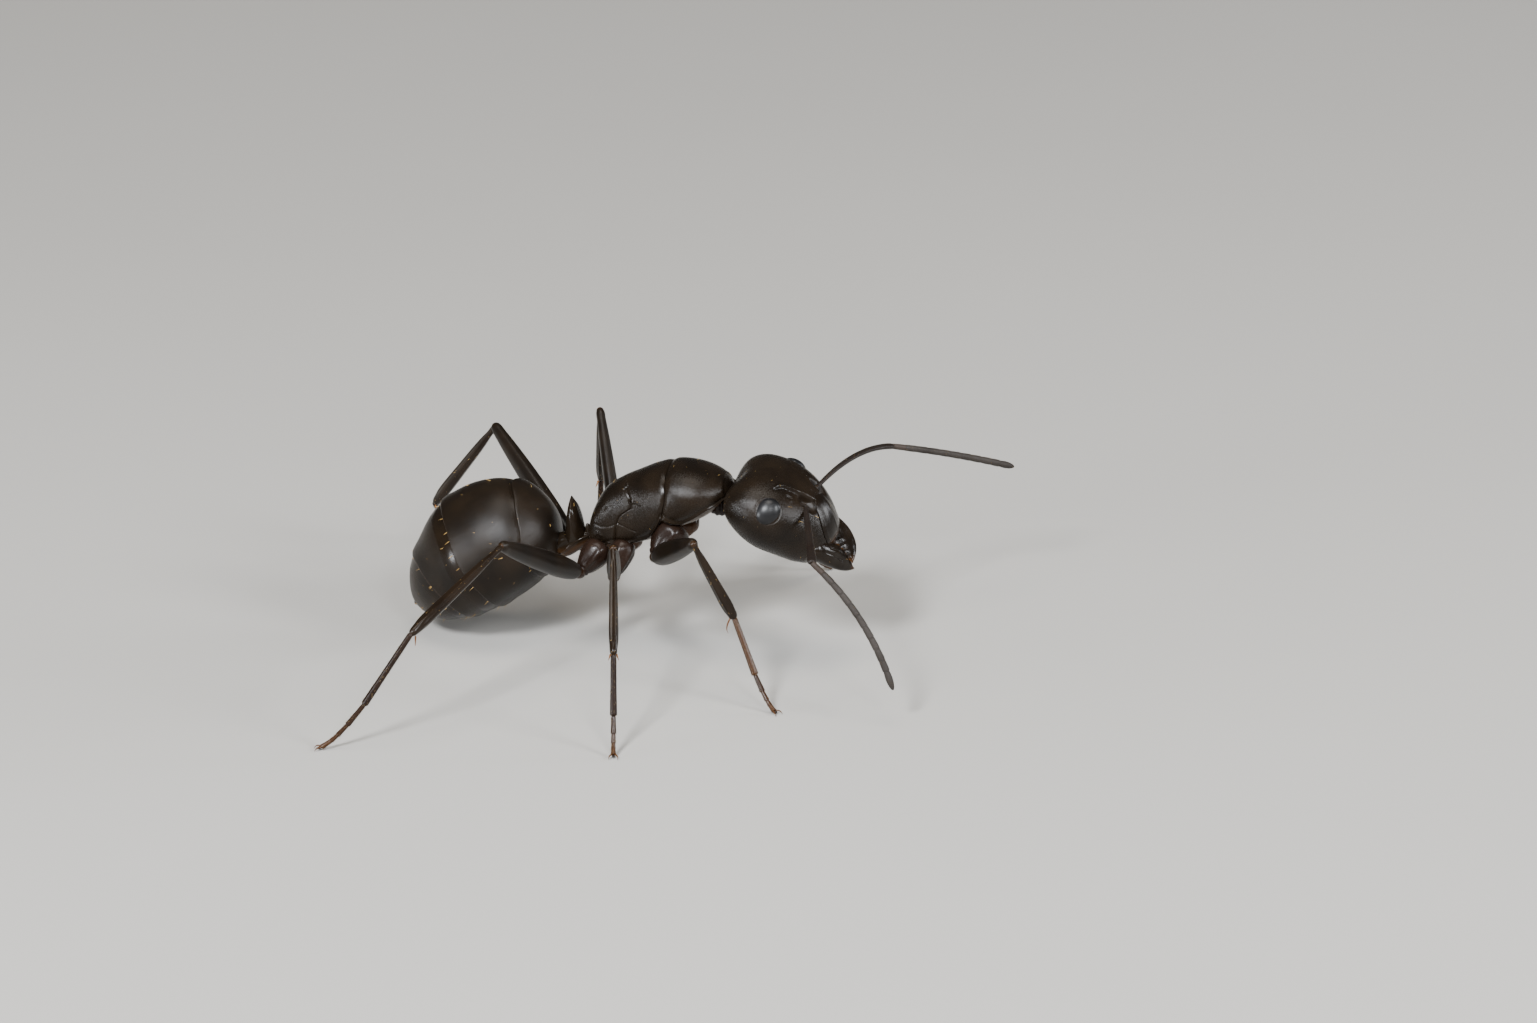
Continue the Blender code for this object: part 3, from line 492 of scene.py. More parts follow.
def between(value, rise, fall):
    """A ramp up over one reach and down over another."""
    return ramp(value, *rise) * (1 - ramp(value, *fall))


def oval(x, y, middle, half_sizes):
    """Distance from an oval's middle, counted in its half sizes, so that it is 1 on the outline."""
    return np.hypot((x - middle[0]) / half_sizes[0], (y - middle[1]) / half_sizes[1])


def line_distance(x, y, line):
    """Distance from each point to a chain of straight lengths."""
    nearest = np.full(np.broadcast(x, y).shape, np.inf)
    for (ax, ay), (bx, by) in zip(line[:-1], line[1:]):
        ux, uy = bx - ax, by - ay
        share = np.clip(((x - ax) * ux + (y - ay) * uy) / (ux * ux + uy * uy), 0, 1)
        nearest = np.minimum(nearest, np.hypot(x - ax - share * ux, y - ay - share * uy))
    return nearest


def turned(points, roll=0.0, pitch=0.0, yaw=0.0, origin=(0, 0, 0)):
    """Points turned about X, then Y, then Z, and moved so that their own origin comes to origin."""
    turns = np.radians([roll, pitch, yaw])
    (cr, cp, cy), (sr, sp, sy) = np.cos(turns), np.sin(turns)
    about_x = np.array([[1, 0, 0], [0, cr, -sr], [0, sr, cr]])
    about_y = np.array([[cp, 0, sp], [0, 1, 0], [-sp, 0, cp]])
    about_z = np.array([[cy, -sy, 0], [sy, cy, 0], [0, 0, 1]])
    return points @ (about_z @ about_y @ about_x).T + np.array(origin)


def on_head(points):
    roll, pitch, yaw = HEAD_TURN
    return turned(np.asarray(points, float), roll, pitch, yaw, HEAD_CENTRE)


def on_gaster(points):
    return turned(points, pitch=GASTER_PITCH, origin=GASTER_FRONT)


def direction(azimuth, elevation):
    azimuth, elevation = math.radians(azimuth), math.radians(elevation)
    return np.array([math.cos(elevation) * math.cos(azimuth), math.cos(elevation) * math.sin(azimuth),
                     math.sin(elevation)])


def unit(vectors):
    return vectors / np.maximum(np.linalg.norm(vectors, axis=-1, keepdims=True), 1e-12)


def limb(form, start, end, radius, grid, bow=(0, 0, 0), up=(0, 0, 1), relief=None):
    """A loft laid along the line from start to end, whose middle stands off by bow.

    The form's first column is a share of the line, and the others are scaled by the radius. Relief is a
    function of that share and the angle round the limb which gives the height to add.
    """
    start, end, bow = np.array(start, float), np.array(end, float), np.array(bow, float)
    angle = angles(grid[1])
    section = loft(form, shares(grid[0]), angle) * (1, radius, radius)
    if relief:
        height = relief(section[..., 0], angle)
        section = section + unit(section * (0, 1, 1)) * height[..., None]
    share = section[..., :1]
    centre = start + (end - start) * share + bow * 4 * share * (1 - share)
    ahead = unit((end - start) + bow * 4 * (1 - 2 * share))
    side = unit(np.cross(np.array(up, float), ahead))
    return centre + section[..., 1:2] * side + section[..., 2:] * np.cross(ahead, side)


def plate(surface, edges, rows, rolls, poles):
    """A ring of shell between two edges, as a closed grid.

    surface gives the points at an array of shares, one column for each angle; edges holds the low and the
    high edge's share at each angle. Near an edge the shell turns in by a quarter circle, of the radius that
    rolls gives for it, and behind it a wall closes the ring. poles names the ends, "low" or "high", that need
    neither.
    """
    low, high = edges
    crowded = 0.5 - 0.5 * np.cos(np.pi * shares(rows))
    step = CROWDING * crowded + (1 - CROWDING) * shares(rows)
    points = surface(low + (high - low) * step)
    drop = np.zeros(points.shape[:2])
    for name, edge, roll in (("low", points[:1], rolls[0]), ("high", points[-1:], rolls[1])):
        if name not in poles:
            depth = np.clip(roll - np.linalg.norm(points - edge, axis=-1), 0, roll)
            drop -= roll - np.sqrt(np.maximum(roll ** 2 - depth ** 2, 0))
    points = swell(points, drop)
    walls = np.array(WALL_STEPS)[:, None, None]
    if "low" not in poles:
        middle = points[:1].mean(axis=1, keepdims=True)
        points = np.concatenate([middle + (points[:1] - middle) * walls, points])
    if "high" not in poles:
        middle = points[-1:].mean(axis=1, keepdims=True)
        points = np.concatenate([points, middle + (points[-1:] - middle) * walls[::-1]])
    return points


def open_ends(low_edge, high_edge):
    """Which ends of a plate have no edge and close in a pole."""
    return [name for name, edge in (("low", low_edge), ("high", high_edge)) if not edge]


# ---- settings ----

def length_setting(name, millimetres, description):
    return bpy.props.FloatProperty(name=name, description=description, default=millimetres * MM, min=0.0,
                                   unit="LENGTH", precision=6)


def colour_setting(name, value, description):
    return bpy.props.FloatVectorProperty(name=name, description=description, default=value, size=3,
                                         subtype="COLOR", min=0.0, max=1.0)


class AntSizes(bpy.types.PropertyGroup):
    grain: length_setting("Shell grain", 0.019, "Width of the cells in the shell's surface")
    grain_depth: length_setting("Grain depth", 0.0014, "Height of the relief between those cells")
    tibia_radius: length_setting("Shin radius", 0.135, "Radius of a tibia at its middle")
    tarsus_radius: length_setting("Foot radius", 0.070, "Radius of the tarsus at its joints")
    scape_radius: length_setting("Scape radius", 0.098, "Radius of a feeler's first length")
    funiculus_radius: length_setting("Funiculus radius", 0.086, "Radius of a feeler's rings")
    bristle: length_setting("Bristle length", 0.19, "Length of the standing bristles on the body")
    down: length_setting("Down length", 0.075, "Length of the short hairs that lie flat")
    ridge: length_setting("Ridge height", 0.046, "Height of the two ridges on the forehead")


class AntColours(bpy.types.PropertyGroup):
    black: colour_setting("Black", (0.0034, 0.0024, 0.0017), "Deepest colour of the shell")
    # Painted light: the olive is partly the shell's own brown tone and partly painted warm bounce light,
    # clouded over all of the black shell.
    olive: colour_setting("Olive", (0.0125, 0.0080, 0.0046), "Where the shell looks a little thinner")
    brown: colour_setting("Brown", (0.0085, 0.0048, 0.0034), "Coxae, neck and feet")
    russet: colour_setting("Russet", (0.0170, 0.0090, 0.0058), "Lit parts of the brown shell")
    amber: colour_setting("Amber", (0.240, 0.095, 0.026), "Knees, spurs and the shell's thin edges")
    feeler: colour_setting("Feeler", (0.0150, 0.0118, 0.0098), "Matt length of the feelers")
    feeler_light: colour_setting("Feeler, worn", (0.0340, 0.0280, 0.0240), "Where their down catches light")
    eye: colour_setting("Eye", (0.0045, 0.0044, 0.0047), "Eyes")
    eye_light: colour_setting("Eye, light", (0.0090, 0.0088, 0.0094), "Paler clouds in the eyes")
    bristle: colour_setting("Bristle", (0.62, 0.38, 0.12), "Bristles and down")
    floor: colour_setting("Floor", (0.38, 0.365, 0.34), "The plain floor")


def size(name):
    """A size setting in millimetres."""
    return getattr(bpy.context.scene.ant_sizes, name) / MM


def colour(name, share=1.0):
    """A colour setting with its alpha, darkened to a share of itself."""
    return (*(share * part for part in getattr(bpy.context.scene.ant_colours, name)), 1)


# ---- finishes ----

def add_node(tree, kind, values, **settings):
    """Adds a shader node; a value that is another node's socket is linked, and any other is set."""
    made = tree.nodes.new("ShaderNode" + kind)
    for name, value in settings.items():
        setattr(made, name, value)
    for key, value in values.items():
        if isinstance(value, bpy.types.NodeSocket):
            tree.links.new(value, made.inputs[key])
        else:
            made.inputs[key].default_value = value
    return made


def mix_colour(tree, share, first, second):
    return add_node(tree, "Mix", {0: share, 6: first, 7: second}, data_type="RGBA").outputs[2]


def mix_number(tree, share, first, second):
    return add_node(tree, "Mix", {0: share, 2: first, 3: second}, data_type="FLOAT").outputs[0]


def spread(tree, value, low, high, to_low=0.0, to_high=1.0):
    return add_node(tree, "MapRange", {0: value, 1: low, 2: high, 3: to_low, 4: to_high}).outputs[0]


def noise(tree, vector, scale, detail=3.0):
    return add_node(tree, "TexNoise", {"Vector": vector, "Scale": scale, "Detail": detail}).outputs["Fac"]


def mark(tree, name):
    return add_node(tree, "Attribute", {}, attribute_name=name).outputs["Fac"]


def blank_finish(name):
    """A new material, its tree, its shader and the object's coordinates in millimetres."""
    made = bpy.data.materials.new(name)
    made.use_nodes = True
    tree = made.node_tree
    place = add_node(tree, "TexCoord", {}).outputs["Object"]
    place = add_node(tree, "Mapping", {"Vector": place, "Scale": (1 / MM, 1 / MM, 1 / MM)}).outputs["Vector"]
    return made, tree, tree.nodes["Principled BSDF"], place


POLISHED, DULL = 0.16, 0.80         # roughness where the gloss and the matt mark are 1
SHELL_SPECULAR, EYE_SPECULAR = 0.17, 0.27
CLOUDS, SPECKS = (0.35, 0.65), (0.3, 0.7)       # the part of a noise's range that is spread out


def shell_finish(name, dark, light, rough, grain=None):
    """Insect shell: a fine mesh of cells in low relief, clouded between two colours.

    grain is the cells' width and height, if they aren't the settings' own. The mark gloss polishes the shell,
    matt dulls it, and thin lets the colour of thin shell through; on the lower sides of the coxae and the
    stalk that amber is painted light, shining through the shell.
    """
    made, tree, shader, place = blank_finish(name)
    width, height = grain or (size("grain"), size("grain_depth"))
    gloss, thin, matt = mark(tree, "gloss"), mark(tree, "thin"), mark(tree, "matt")
    cloud = spread(tree, noise(tree, place, 1.3, 4.0), *CLOUDS, 0.20, 0.80)
    specks = noise(tree, place, 0.45 / width, 2.0)
    rims = add_node(tree, "TexVoronoi", {"Vector": place, "Scale": 1 / width, "Randomness": 1.0},
                    feature="DISTANCE_TO_EDGE").outputs["Distance"]
    tint = mix_colour(tree, cloud, colour(dark), colour(light))
    tint = mix_colour(tree, thin, tint, colour("amber"))
    tree.links.new(tint, shader.inputs["Base Color"])
    dull = spread(tree, specks, *SPECKS, rough - 0.03, rough + 0.04)
    rough_now = mix_number(tree, matt, mix_number(tree, gloss, dull, POLISHED), DULL)
    tree.links.new(rough_now, shader.inputs["Roughness"])
    relief = mix_number(tree, 0.20, spread(tree, rims, 0.0, 0.30), specks)
    strength = spread(tree, gloss, 0.0, 0.6, 1.0, 0.10)
    bump = add_node(tree, "Bump", {"Strength": strength, "Distance": height * MM, "Height": relief})
    tree.links.new(bump.outputs["Normal"], shader.inputs["Normal"])
    shader.inputs["Specular IOR Level"].default_value = SHELL_SPECULAR
    return made


def eye_finish(name):
    """A compound eye: grey, satin, a little deeper in colour between its facets."""
    made, tree, shader, place = blank_finish(name)
    facet = mark(tree, "facet")
    cloud = spread(tree, noise(tree, place, 3.0), *CLOUDS)
    tint = mix_colour(tree, cloud, colour("eye"), colour("eye_light"))
    tint = mix_colour(tree, spread(tree, facet, 0.0, 0.5, 0.90, 1.0), colour("black"), tint)
    tree.links.new(tint, shader.inputs["Base Color"])
    rough = spread(tree, noise(tree, place, 20.0), *SPECKS, 0.32, 0.37)
    tree.links.new(rough, shader.inputs["Roughness"])
    shader.inputs["Specular IOR Level"].default_value = EYE_SPECULAR
    return made


def bristle_finish(name, strength):
    """Bristle: gold or, at less strength, brown, and darker towards some roots."""
    made, tree, shader, place = blank_finish(name)
    shade = spread(tree, noise(tree, place, 2.5), *CLOUDS)
    tint = mix_colour(tree, shade, colour("bristle", 0.45 * strength), colour("bristle", strength))
    tree.links.new(tint, shader.inputs["Base Color"])
    shader.inputs["Roughness"].default_value = 0.35
    return made


# Each finish: the slot it fills, its maker and what that is told.
FINISHES = {
    "black_shell": ("cuticle_black", shell_finish, "black", "olive", 0.27),
    "brown_shell": ("cuticle_brown", shell_finish, "brown", "russet", 0.30, (0.045, 0.0012)),
    "feeler_skin": ("feeler_grey", shell_finish, "feeler", "feeler_light", 0.50, (0.020, 0.0030)),
    "scape_skin": ("feeler_grey", shell_finish, "brown", "feeler", 0.42, (0.020, 0.0020)),
    "amber_shell": ("joint_amber", shell_finish, "amber", "russet", 0.26, (0.050, 0.0008)),
    "eye_surface": ("eye_grey", eye_finish),
    "gold_bristle": ("bristle_gold", bristle_finish, 1.0),
    "brown_bristle": ("bristle_gold", bristle_finish, 0.35),
}


# ---- meshes ----

def closed(points, **marks):
    """A closed part from a grid: its columns wrap round and its first and last row each become one corner."""
    rings = points[1:-1]
    rows, columns = rings.shape[:2]
    vertices = np.concatenate([points[:1].mean(axis=1), rings.reshape(-1, 3), points[-1:].mean(axis=1)])
    corner = 1 + np.arange(rows * columns).reshape(rows, columns)
    beside = np.roll(corner, -1, axis=1)
    near, far = corner[:-1], corner[1:]
    near_beside, far_beside = beside[:-1], beside[1:]
    first, last = np.zeros(columns, int), np.full(columns, len(vertices) - 1)
    triangles = np.concatenate([
        np.stack([first, beside[0], corner[0]], axis=-1),
        np.stack([near, near_beside, far_beside], axis=-1).reshape(-1, 3),
        np.stack([near, far_beside, far], axis=-1).reshape(-1, 3),
        np.stack([corner[-1], beside[-1], last], axis=-1),
    ])
    flat = {}
    for name, values in marks.items():
        grid = np.broadcast_to(values, points.shape[:2])
        flat[name] = np.concatenate([grid[:1].mean(axis=1), grid[1:-1].ravel(), grid[-1:].mean(axis=1)])
    return {"vertices": vertices, "triangles": triangles, "marks": flat, "uv": None}


def frame_shift():
    """Where the ant's own origin lies in the frame, in millimetres, as the left eye's solid tells."""
    low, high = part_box("eye_left")
    here = np.array((low + high) / 2) / MM
    return here - on_head(EYE_CENTRE)


SHIFT = frame_shift()
SKINS = {}                  # finished grids by name, for the bristles that grow on them


def make_piece(name, parts, finish, nodes=()):
    """One object of closed parts, in the frame's metres, riding on the ant and standing for the CAD nodes."""
    starts = np.cumsum([0] + [len(part["vertices"]) for part in parts[:-1]])
    vertices = (np.concatenate([part["vertices"] for part in parts]) + SHIFT) * MM
    triangles = np.concatenate([part["triangles"] + start for part, start in zip(parts, starts)])
    mesh = bpy.data.meshes.new(name)
    mesh.vertices.add(len(vertices))
    mesh.vertices.foreach_set("co", vertices.astype(np.float32).ravel())
    mesh.loops.add(triangles.size)
    mesh.loops.foreach_set("vertex_index", triangles.astype(np.int32).ravel())
    mesh.polygons.add(len(triangles))
    mesh.polygons.foreach_set("loop_start", np.arange(0, triangles.size, 3, dtype=np.int32))
    mesh.update(calc_edges=True)
    for mark_name in sorted({mark_name for part in parts for mark_name in part["marks"]}):
        values = [part["marks"].get(mark_name, np.zeros(len(part["vertices"]))) for part in parts]
        layer = mesh.attributes.new(mark_name, "FLOAT", "POINT")
        layer.data.foreach_set("value", np.concatenate(values).astype(np.float32))
    if parts[0]["uv"] is not None:
        spots = np.concatenate([part["uv"] for part in parts])[triangles.ravel()]
        mesh.uv_layers.new(name="OFBake").data.foreach_set("uv", spots.astype(np.float32).ravel())
    mesh.shade_smooth()
    slot, maker, *told = FINISHES[finish]
    mesh.materials.append(bpy.data.materials.get(finish) or maker(finish, *told))
    piece = bpy.data.objects.new(name, mesh)
    bpy.context.scene.collection.objects.link(piece)
    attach(piece, "root")
    if nodes:
        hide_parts(*nodes)


# ---- the body's plates ----

def down_from_back(angle):
    """Degrees from the middle of the back to each angle of a section, the same to either side."""
    return np.abs((np.degrees(angle) - 90 + 180) % 360 - 180)


def share_at(stations, table, angle):
    """The share of a loft at which each angle meets an edge given as (degrees down, place along the axis)."""
    fine = np.linspace(0, 1, FINE_STEPS)
    along = blend(stations, fine, lofted=True)[:, 0]
    order = np.argsort(along)
    return np.interp(read_table(table, down_from_back(angle)), along[order], fine[order])


def edge_shares(stations, low_edge, high_edge, angle):
    """The shares of a plate's edges at each angle; the loft's own end stands in for one that is missing."""
    low = share_at(stations, low_edge, angle) if low_edge else np.zeros(angle.shape)
    high = share_at(stations, high_edge, angle) if high_edge else np.ones(angle.shape)
    return low, high


def edge_distance(points, table, angle):
    """How far each point lies in front of an edge, along the axis."""
    return points[..., 0] - read_table(table, down_from_back(angle))


def below_rim(x, angle):
    """How many degrees each point of the trunk lies below the rim of its side plates."""
    return down_from_back(angle) - read_table(TRUNK_RIM, x)


def trunk_relief(points, angle):
    """Heights on the trunk: rims, the recess under its side plates, a breathing hole, wrinkles and seams."""
    x, y, z = axes(points)
    below = below_rim(x, angle)
    height = sum(mound(below, shape) for shape in RIM_MOUNDS) - RIM_STEP * ramp(below, *RIM_STEP_REACH)
    hole = np.hypot(x - SPIRACLE[0], z - SPIRACLE[1])
    small = sum(mound(hole, shape) for shape in SPIRACLE_MOUNDS)
    for width, rise, line in TRUNK_SEAMS:
        small = small + rise * hill(line_distance(x, z, line), width)
    wrinkles = np.cos(TAU * (x + WRINKLE_SLANT * z) / WRINKLE_PITCH)
    small = small + WRINKLE_HEIGHT * wrinkles * hill(oval(x, z, *WRINKLE_OVAL))
    height = height + small * ramp(np.abs(y), *SIDE_FADE)
    collar = COLLAR - x - COLLAR_LEAN * np.cos(np.radians(down_from_back(angle)))
    return height + mound(collar, COLLAR_BEAD) - COLLAR_STEP * ramp(-collar, *COLLAR_STEP_REACH)


def build_trunk_plate(name, low_edge, high_edge):
    """One plate of the trunk between two edges of its loft, with the relief that lies on it."""
    rows, columns = GRIDS["trunk"]
    angle = angles(columns)
    edges = [edge for edge in (low_edge, high_edge) if edge]
    faint = ramp(down_from_back(angle), *SUTURE_FADE)
    share_of_depth = {PRONOTUM_EDGE: 1.0, MESOTHORAX_EDGE: faint}

    def surface(share):
        points = loft(TRUNK, share, angle)
        height = trunk_relief(points, angle)
        for edge in edges:
            height = height + share_of_depth[edge] * mound(edge_distance(points, edge, angle), SUTURES[edge])
        return swell(points, height)
    rolls = [MESOTHORAX_ROLL * faint if edge is MESOTHORAX_EDGE else PLATE_ROLL
             for edge in (low_edge, high_edge)]
    points = plate(surface, edge_shares(TRUNK, low_edge, high_edge, angle), rows, rolls,
                   open_ends(low_edge, high_edge))
    SKINS[name] = points
    below = below_rim(points[..., 0], angle)
    gloss = mound(below, RIM_SHINE) + SIDE_SHINE * ramp(below, *SIDE_SHINE_REACH)
    for edge in edges:
        gloss = np.maximum(gloss, mound(edge_distance(points, edge, angle), SUTURE_SHINE))
    thin = SIDE_THIN * ramp(below, *SIDE_THIN_REACH) + CHEST_THIN * ramp(below, *CHEST_THIN_REACH) * ramp(
        points[..., 0], *CHEST_REACH)
    make_piece(name + "_shell", [closed(points, gloss=gloss, thin=thin)], "black_shell", [name])


class ANT_OT_trunk(bpy.types.Operator):
    """Builds the three plates of the trunk, parted at their sutures"""
    bl_idname = "ant.trunk"
    bl_label = "Trunk"

    def execute(self, context):
        build_trunk_plate("propodeum", None, MESOTHORAX_EDGE)
        build_trunk_plate("mesothorax", MESOTHORAX_EDGE, PRONOTUM_EDGE)
        build_trunk_plate("pronotum", PRONOTUM_EDGE, None)
        return {"FINISHED"}


def gaster_skin(share, angle):
    """The gaster's loft, its widest level lowered below the middle of each section."""
    points = loft(GASTER, share, angle)
    _, width, top, bottom, _ = axes(blend(GASTER, share, lofted=True))
    level = (points[..., 2] - (top + bottom) / 2) / np.maximum((top - bottom) / 2, 1e-6)
    widest = max(station[1] for station in GASTER)
    points[..., 2] -= GASTER_SAG * width / widest * np.clip(1 - level ** 2, 0, 1)
    return points


def gaster_surface(share, angle, front, rear):
    """The gaster's skin; a segment stands proud at its rear edge and dips where the next one covers it."""
    points = gaster_skin(share, angle)
    height = np.zeros(points.shape[:2])
    if rear:
        away = edge_distance(points, rear, angle)
        height = height + mound(np.maximum(away, 0), GASTER_STEP) + mound(away, GASTER_RIM)
        if rear is GASTER_EDGES[0]:
            fade = 1 - ramp(down_from_back(angle), *FIRST_STEP_FADE)
            height = height + fade * mound(np.maximum(away, 0), FIRST_STEP)
    if front:
        gap = -edge_distance(points, front, angle)
        height = height + mound(np.maximum(gap, 0), GASTER_TUCK)
    return swell(points, height)


class ANT_OT_gaster(bpy.types.Operator):
    """Builds the four segments of the gaster, each overlapping the next"""
    bl_idname = "ant.gaster"
    bl_label = "Gaster"
    dullness = 0.09
    band_fade = 0.05
    rim_gloss, rim_gloss_reach = 0.6, (0.010, 0.035)
    rim_thin, rim_thin_reach = 0.06, (0.004, 0.022)
    tip_thin = 0.08

    def execute(self, context):
        edges = (None, *GASTER_EDGES, None)
        for number, (front, rear) in enumerate(zip(edges[:-1], edges[1:])):
            self.build_segment(number, front, rear)
        return {"FINISHED"}

    def build_segment(self, number, front, rear):
        """One segment, from under the one before it to its own rear edge; the last one carries the tip."""
        rows, columns = GRIDS["gaster"]
        angle = angles(columns)
        covered = tuple((down, place + GASTER_OVERLAP) for down, place in front) if front else None
        points = plate(lambda share: gaster_surface(share, angle, front, rear),
                       edge_shares(GASTER, rear, covered, angle), rows, (GASTER_ROLL, GASTER_ROLL),
                       open_ends(rear, front))
        gloss, thin = np.zeros(points.shape[:2]), 0.0
        if front:
            width, shine = SMOOTH_BANDS[number - 1]
            gap = -edge_distance(points, front, angle)
            gloss = shine * (1 - ramp(gap, width - self.band_fade, width + self.band_fade))
        if rear:
            away = edge_distance(points, rear, angle)
            gloss = np.maximum(gloss, self.rim_gloss * (1 - ramp(away, *self.rim_gloss_reach)))
            thin = self.rim_thin * (1 - ramp(away, *self.rim_thin_reach))
        name = "gaster_%d" % (number + 1)
        SKINS[name] = on_gaster(points)
        parts = [closed(SKINS[name], gloss=gloss, thin=thin, matt=self.dullness * (1 - gloss))]
        if not rear:
            tip = on_gaster(limb(BALL_FORM, *GASTER_TIP, TIP_RADIUS, GRIDS["gaster_tip"]))
            parts.append(closed(tip, thin=self.tip_thin))
        make_piece(name + "_shell", parts, "black_shell", [name])


def stalk_relief(share, angle):
    """A rounded ledge that climbs along each flank of the stalk, with a groove over it."""
    level = np.sin(angle) - LEDGE_START - LEDGE_CLIMB * share
    return sum(mound(level, shape) for shape in STALK_LEDGE) * ramp(share, *LEDGE_REACH)


class ANT_OT_waist(bpy.types.Operator):
    """Builds the upright scale of the waist and the stalk it stands on"""
    bl_idname = "ant.waist"
    bl_label = "Waist"
    scale_gloss, stalk_gloss, lobe_gloss = 0.72, 0.75, 0.8
    # Painted light: the stalk's lower side is tinted amber, as light shining through its thin shell.
    under_thin, under_reach = 0.10, (-0.1, 0.5)

    def execute(self, context):
        rows, columns = GRIDS["scale"]
        upright = loft(SCALE, shares(rows), angles(columns))[..., [2, 1, 0]] * (1, -1, 1)
        _, y, z = axes(upright)
        shoulders = mound(np.abs(y), SCALE_SHOULDER) * ramp(z, *SCALE_SHOULDER_REACH)
        SKINS["petiole"] = swell(upright, shoulders + mound(y, SCALE_CREASE))
        scale = closed(SKINS["petiole"], gloss=self.scale_gloss)
        make_piece("petiole_scale", [scale], "black_shell", ["petiole"])
        stalk = limb(STALK_FORM, *STALK, STALK_RADIUS, GRIDS["stalk"], relief=stalk_relief)
        # Painted light: amber on the stalk's lower side, for light shining through the thin shell.
        under = ramp(-np.sin(angles(stalk.shape[1])), *self.under_reach)
        stalks = [closed(stalk, gloss=self.stalk_gloss, thin=self.under_thin * under)]
        for sign in SIDES.values():
            start, end = np.array(STALK_LOBE) * (1, sign, 1)
            lobe = limb(BALL_FORM, start, end, LOBE_RADIUS, GRIDS["lobe"])
            stalks.append(closed(lobe, gloss=self.lobe_gloss))
        make_piece("petiole_stalk", stalks, "black_shell")
        return {"FINISHED"}


# ---- the head ----

def head_lobes(points):
    """Sets the rear corners of the head back and the middle of its nape forward."""
    x, y, z = axes(points)
    rear = np.clip((LOBE_START - x) / LOBE_LENGTH, 0, 1) ** 2
    corner = np.clip(np.abs(y) / LOBE_WIDTH, 0, 1) ** 2
    return np.stack([x - LOBE_DEPTH * rear * (corner - LOBE_BALANCE), y, z], axis=-1)


def face_height(x, y):
    """Height of the head's upper side over its axis, from the section that crosses each place."""
    fine = np.linspace(0.2, 1, FINE_STEPS)      # the head's first fifth turns back on itself at the nape
    rows = blend(HEAD, fine, lofted=True)
    share = np.interp(x, rows[:, 0], fine)
    _, width, top, bottom, squareness = axes(blend(HEAD, share, lofted=True))
    inside = np.clip(1 - (np.abs(y) / np.maximum(width, 1e-6)) ** squareness, 0, 1)
    return (top + bottom) / 2 + (top - bottom) / 2 * inside ** (1 / squareness)


def ridge_relief(x, side):
    """The forehead's ridge: a crest, steep outside and gentle inside, with a groove outside."""
    place, out = np.array(CARINA[::-1]).T
    beyond = line_distance(x, side, CARINA) * np.where(side > np.interp(x, place, out), 1, -1)
    steep, gentle = RIDGE_WIDTHS
    crest = size("ridge") * np.where(beyond > 0, hill(beyond, steep), hill(beyond, gentle))
    return (crest + mound(beyond, RIDGE_GROOVE)) * between(x, RIDGE_REAR, RIDGE_FRONT)


def head_relief(points):
    """Heights on the head: forehead ridges, feeler pits, the groove round the clypeus, eye rims and seams."""
    x, y, z = axes(points)
    side = np.abs(y)
    face = ridge_relief(x, side)
    for rise, middle, half_sizes, power in FACE_OVALS:
        face = face + rise * np.exp(-oval(x, side, middle, half_sizes) ** power)
    face = face + mound(side, FRONS_SEAM) * between(x, FRONS_REAR, FRONS_FRONT)
    face = face + mound(line_distance(x, side, np.array(CLYPEUS)[1:-1, :2]), CLYPEUS_GROOVE)
    under = mound(y, UNDER_SEAM) + mound(line_distance(x, side, CHIN_LINE), CHIN_GROOVE)
    height = face * ramp(z, *FACE_REACH) + under * (1 - ramp(z, *UNDER_REACH))
    eye = np.linalg.norm(np.stack([x, side, z], axis=-1) - EYE_CENTRE, axis=-1)
    height = height + mound(eye, EYE_GROOVE)
    height = height - NAPE_DEPTH * hill(oval(y, z, *NAPE_OVAL)) * ramp(-x, *NAPE_REACH)
    return height + mound(line_distance(x, z, JAW_LINE), JAW_GROOVE) * ramp(side, *JAW_REACH)


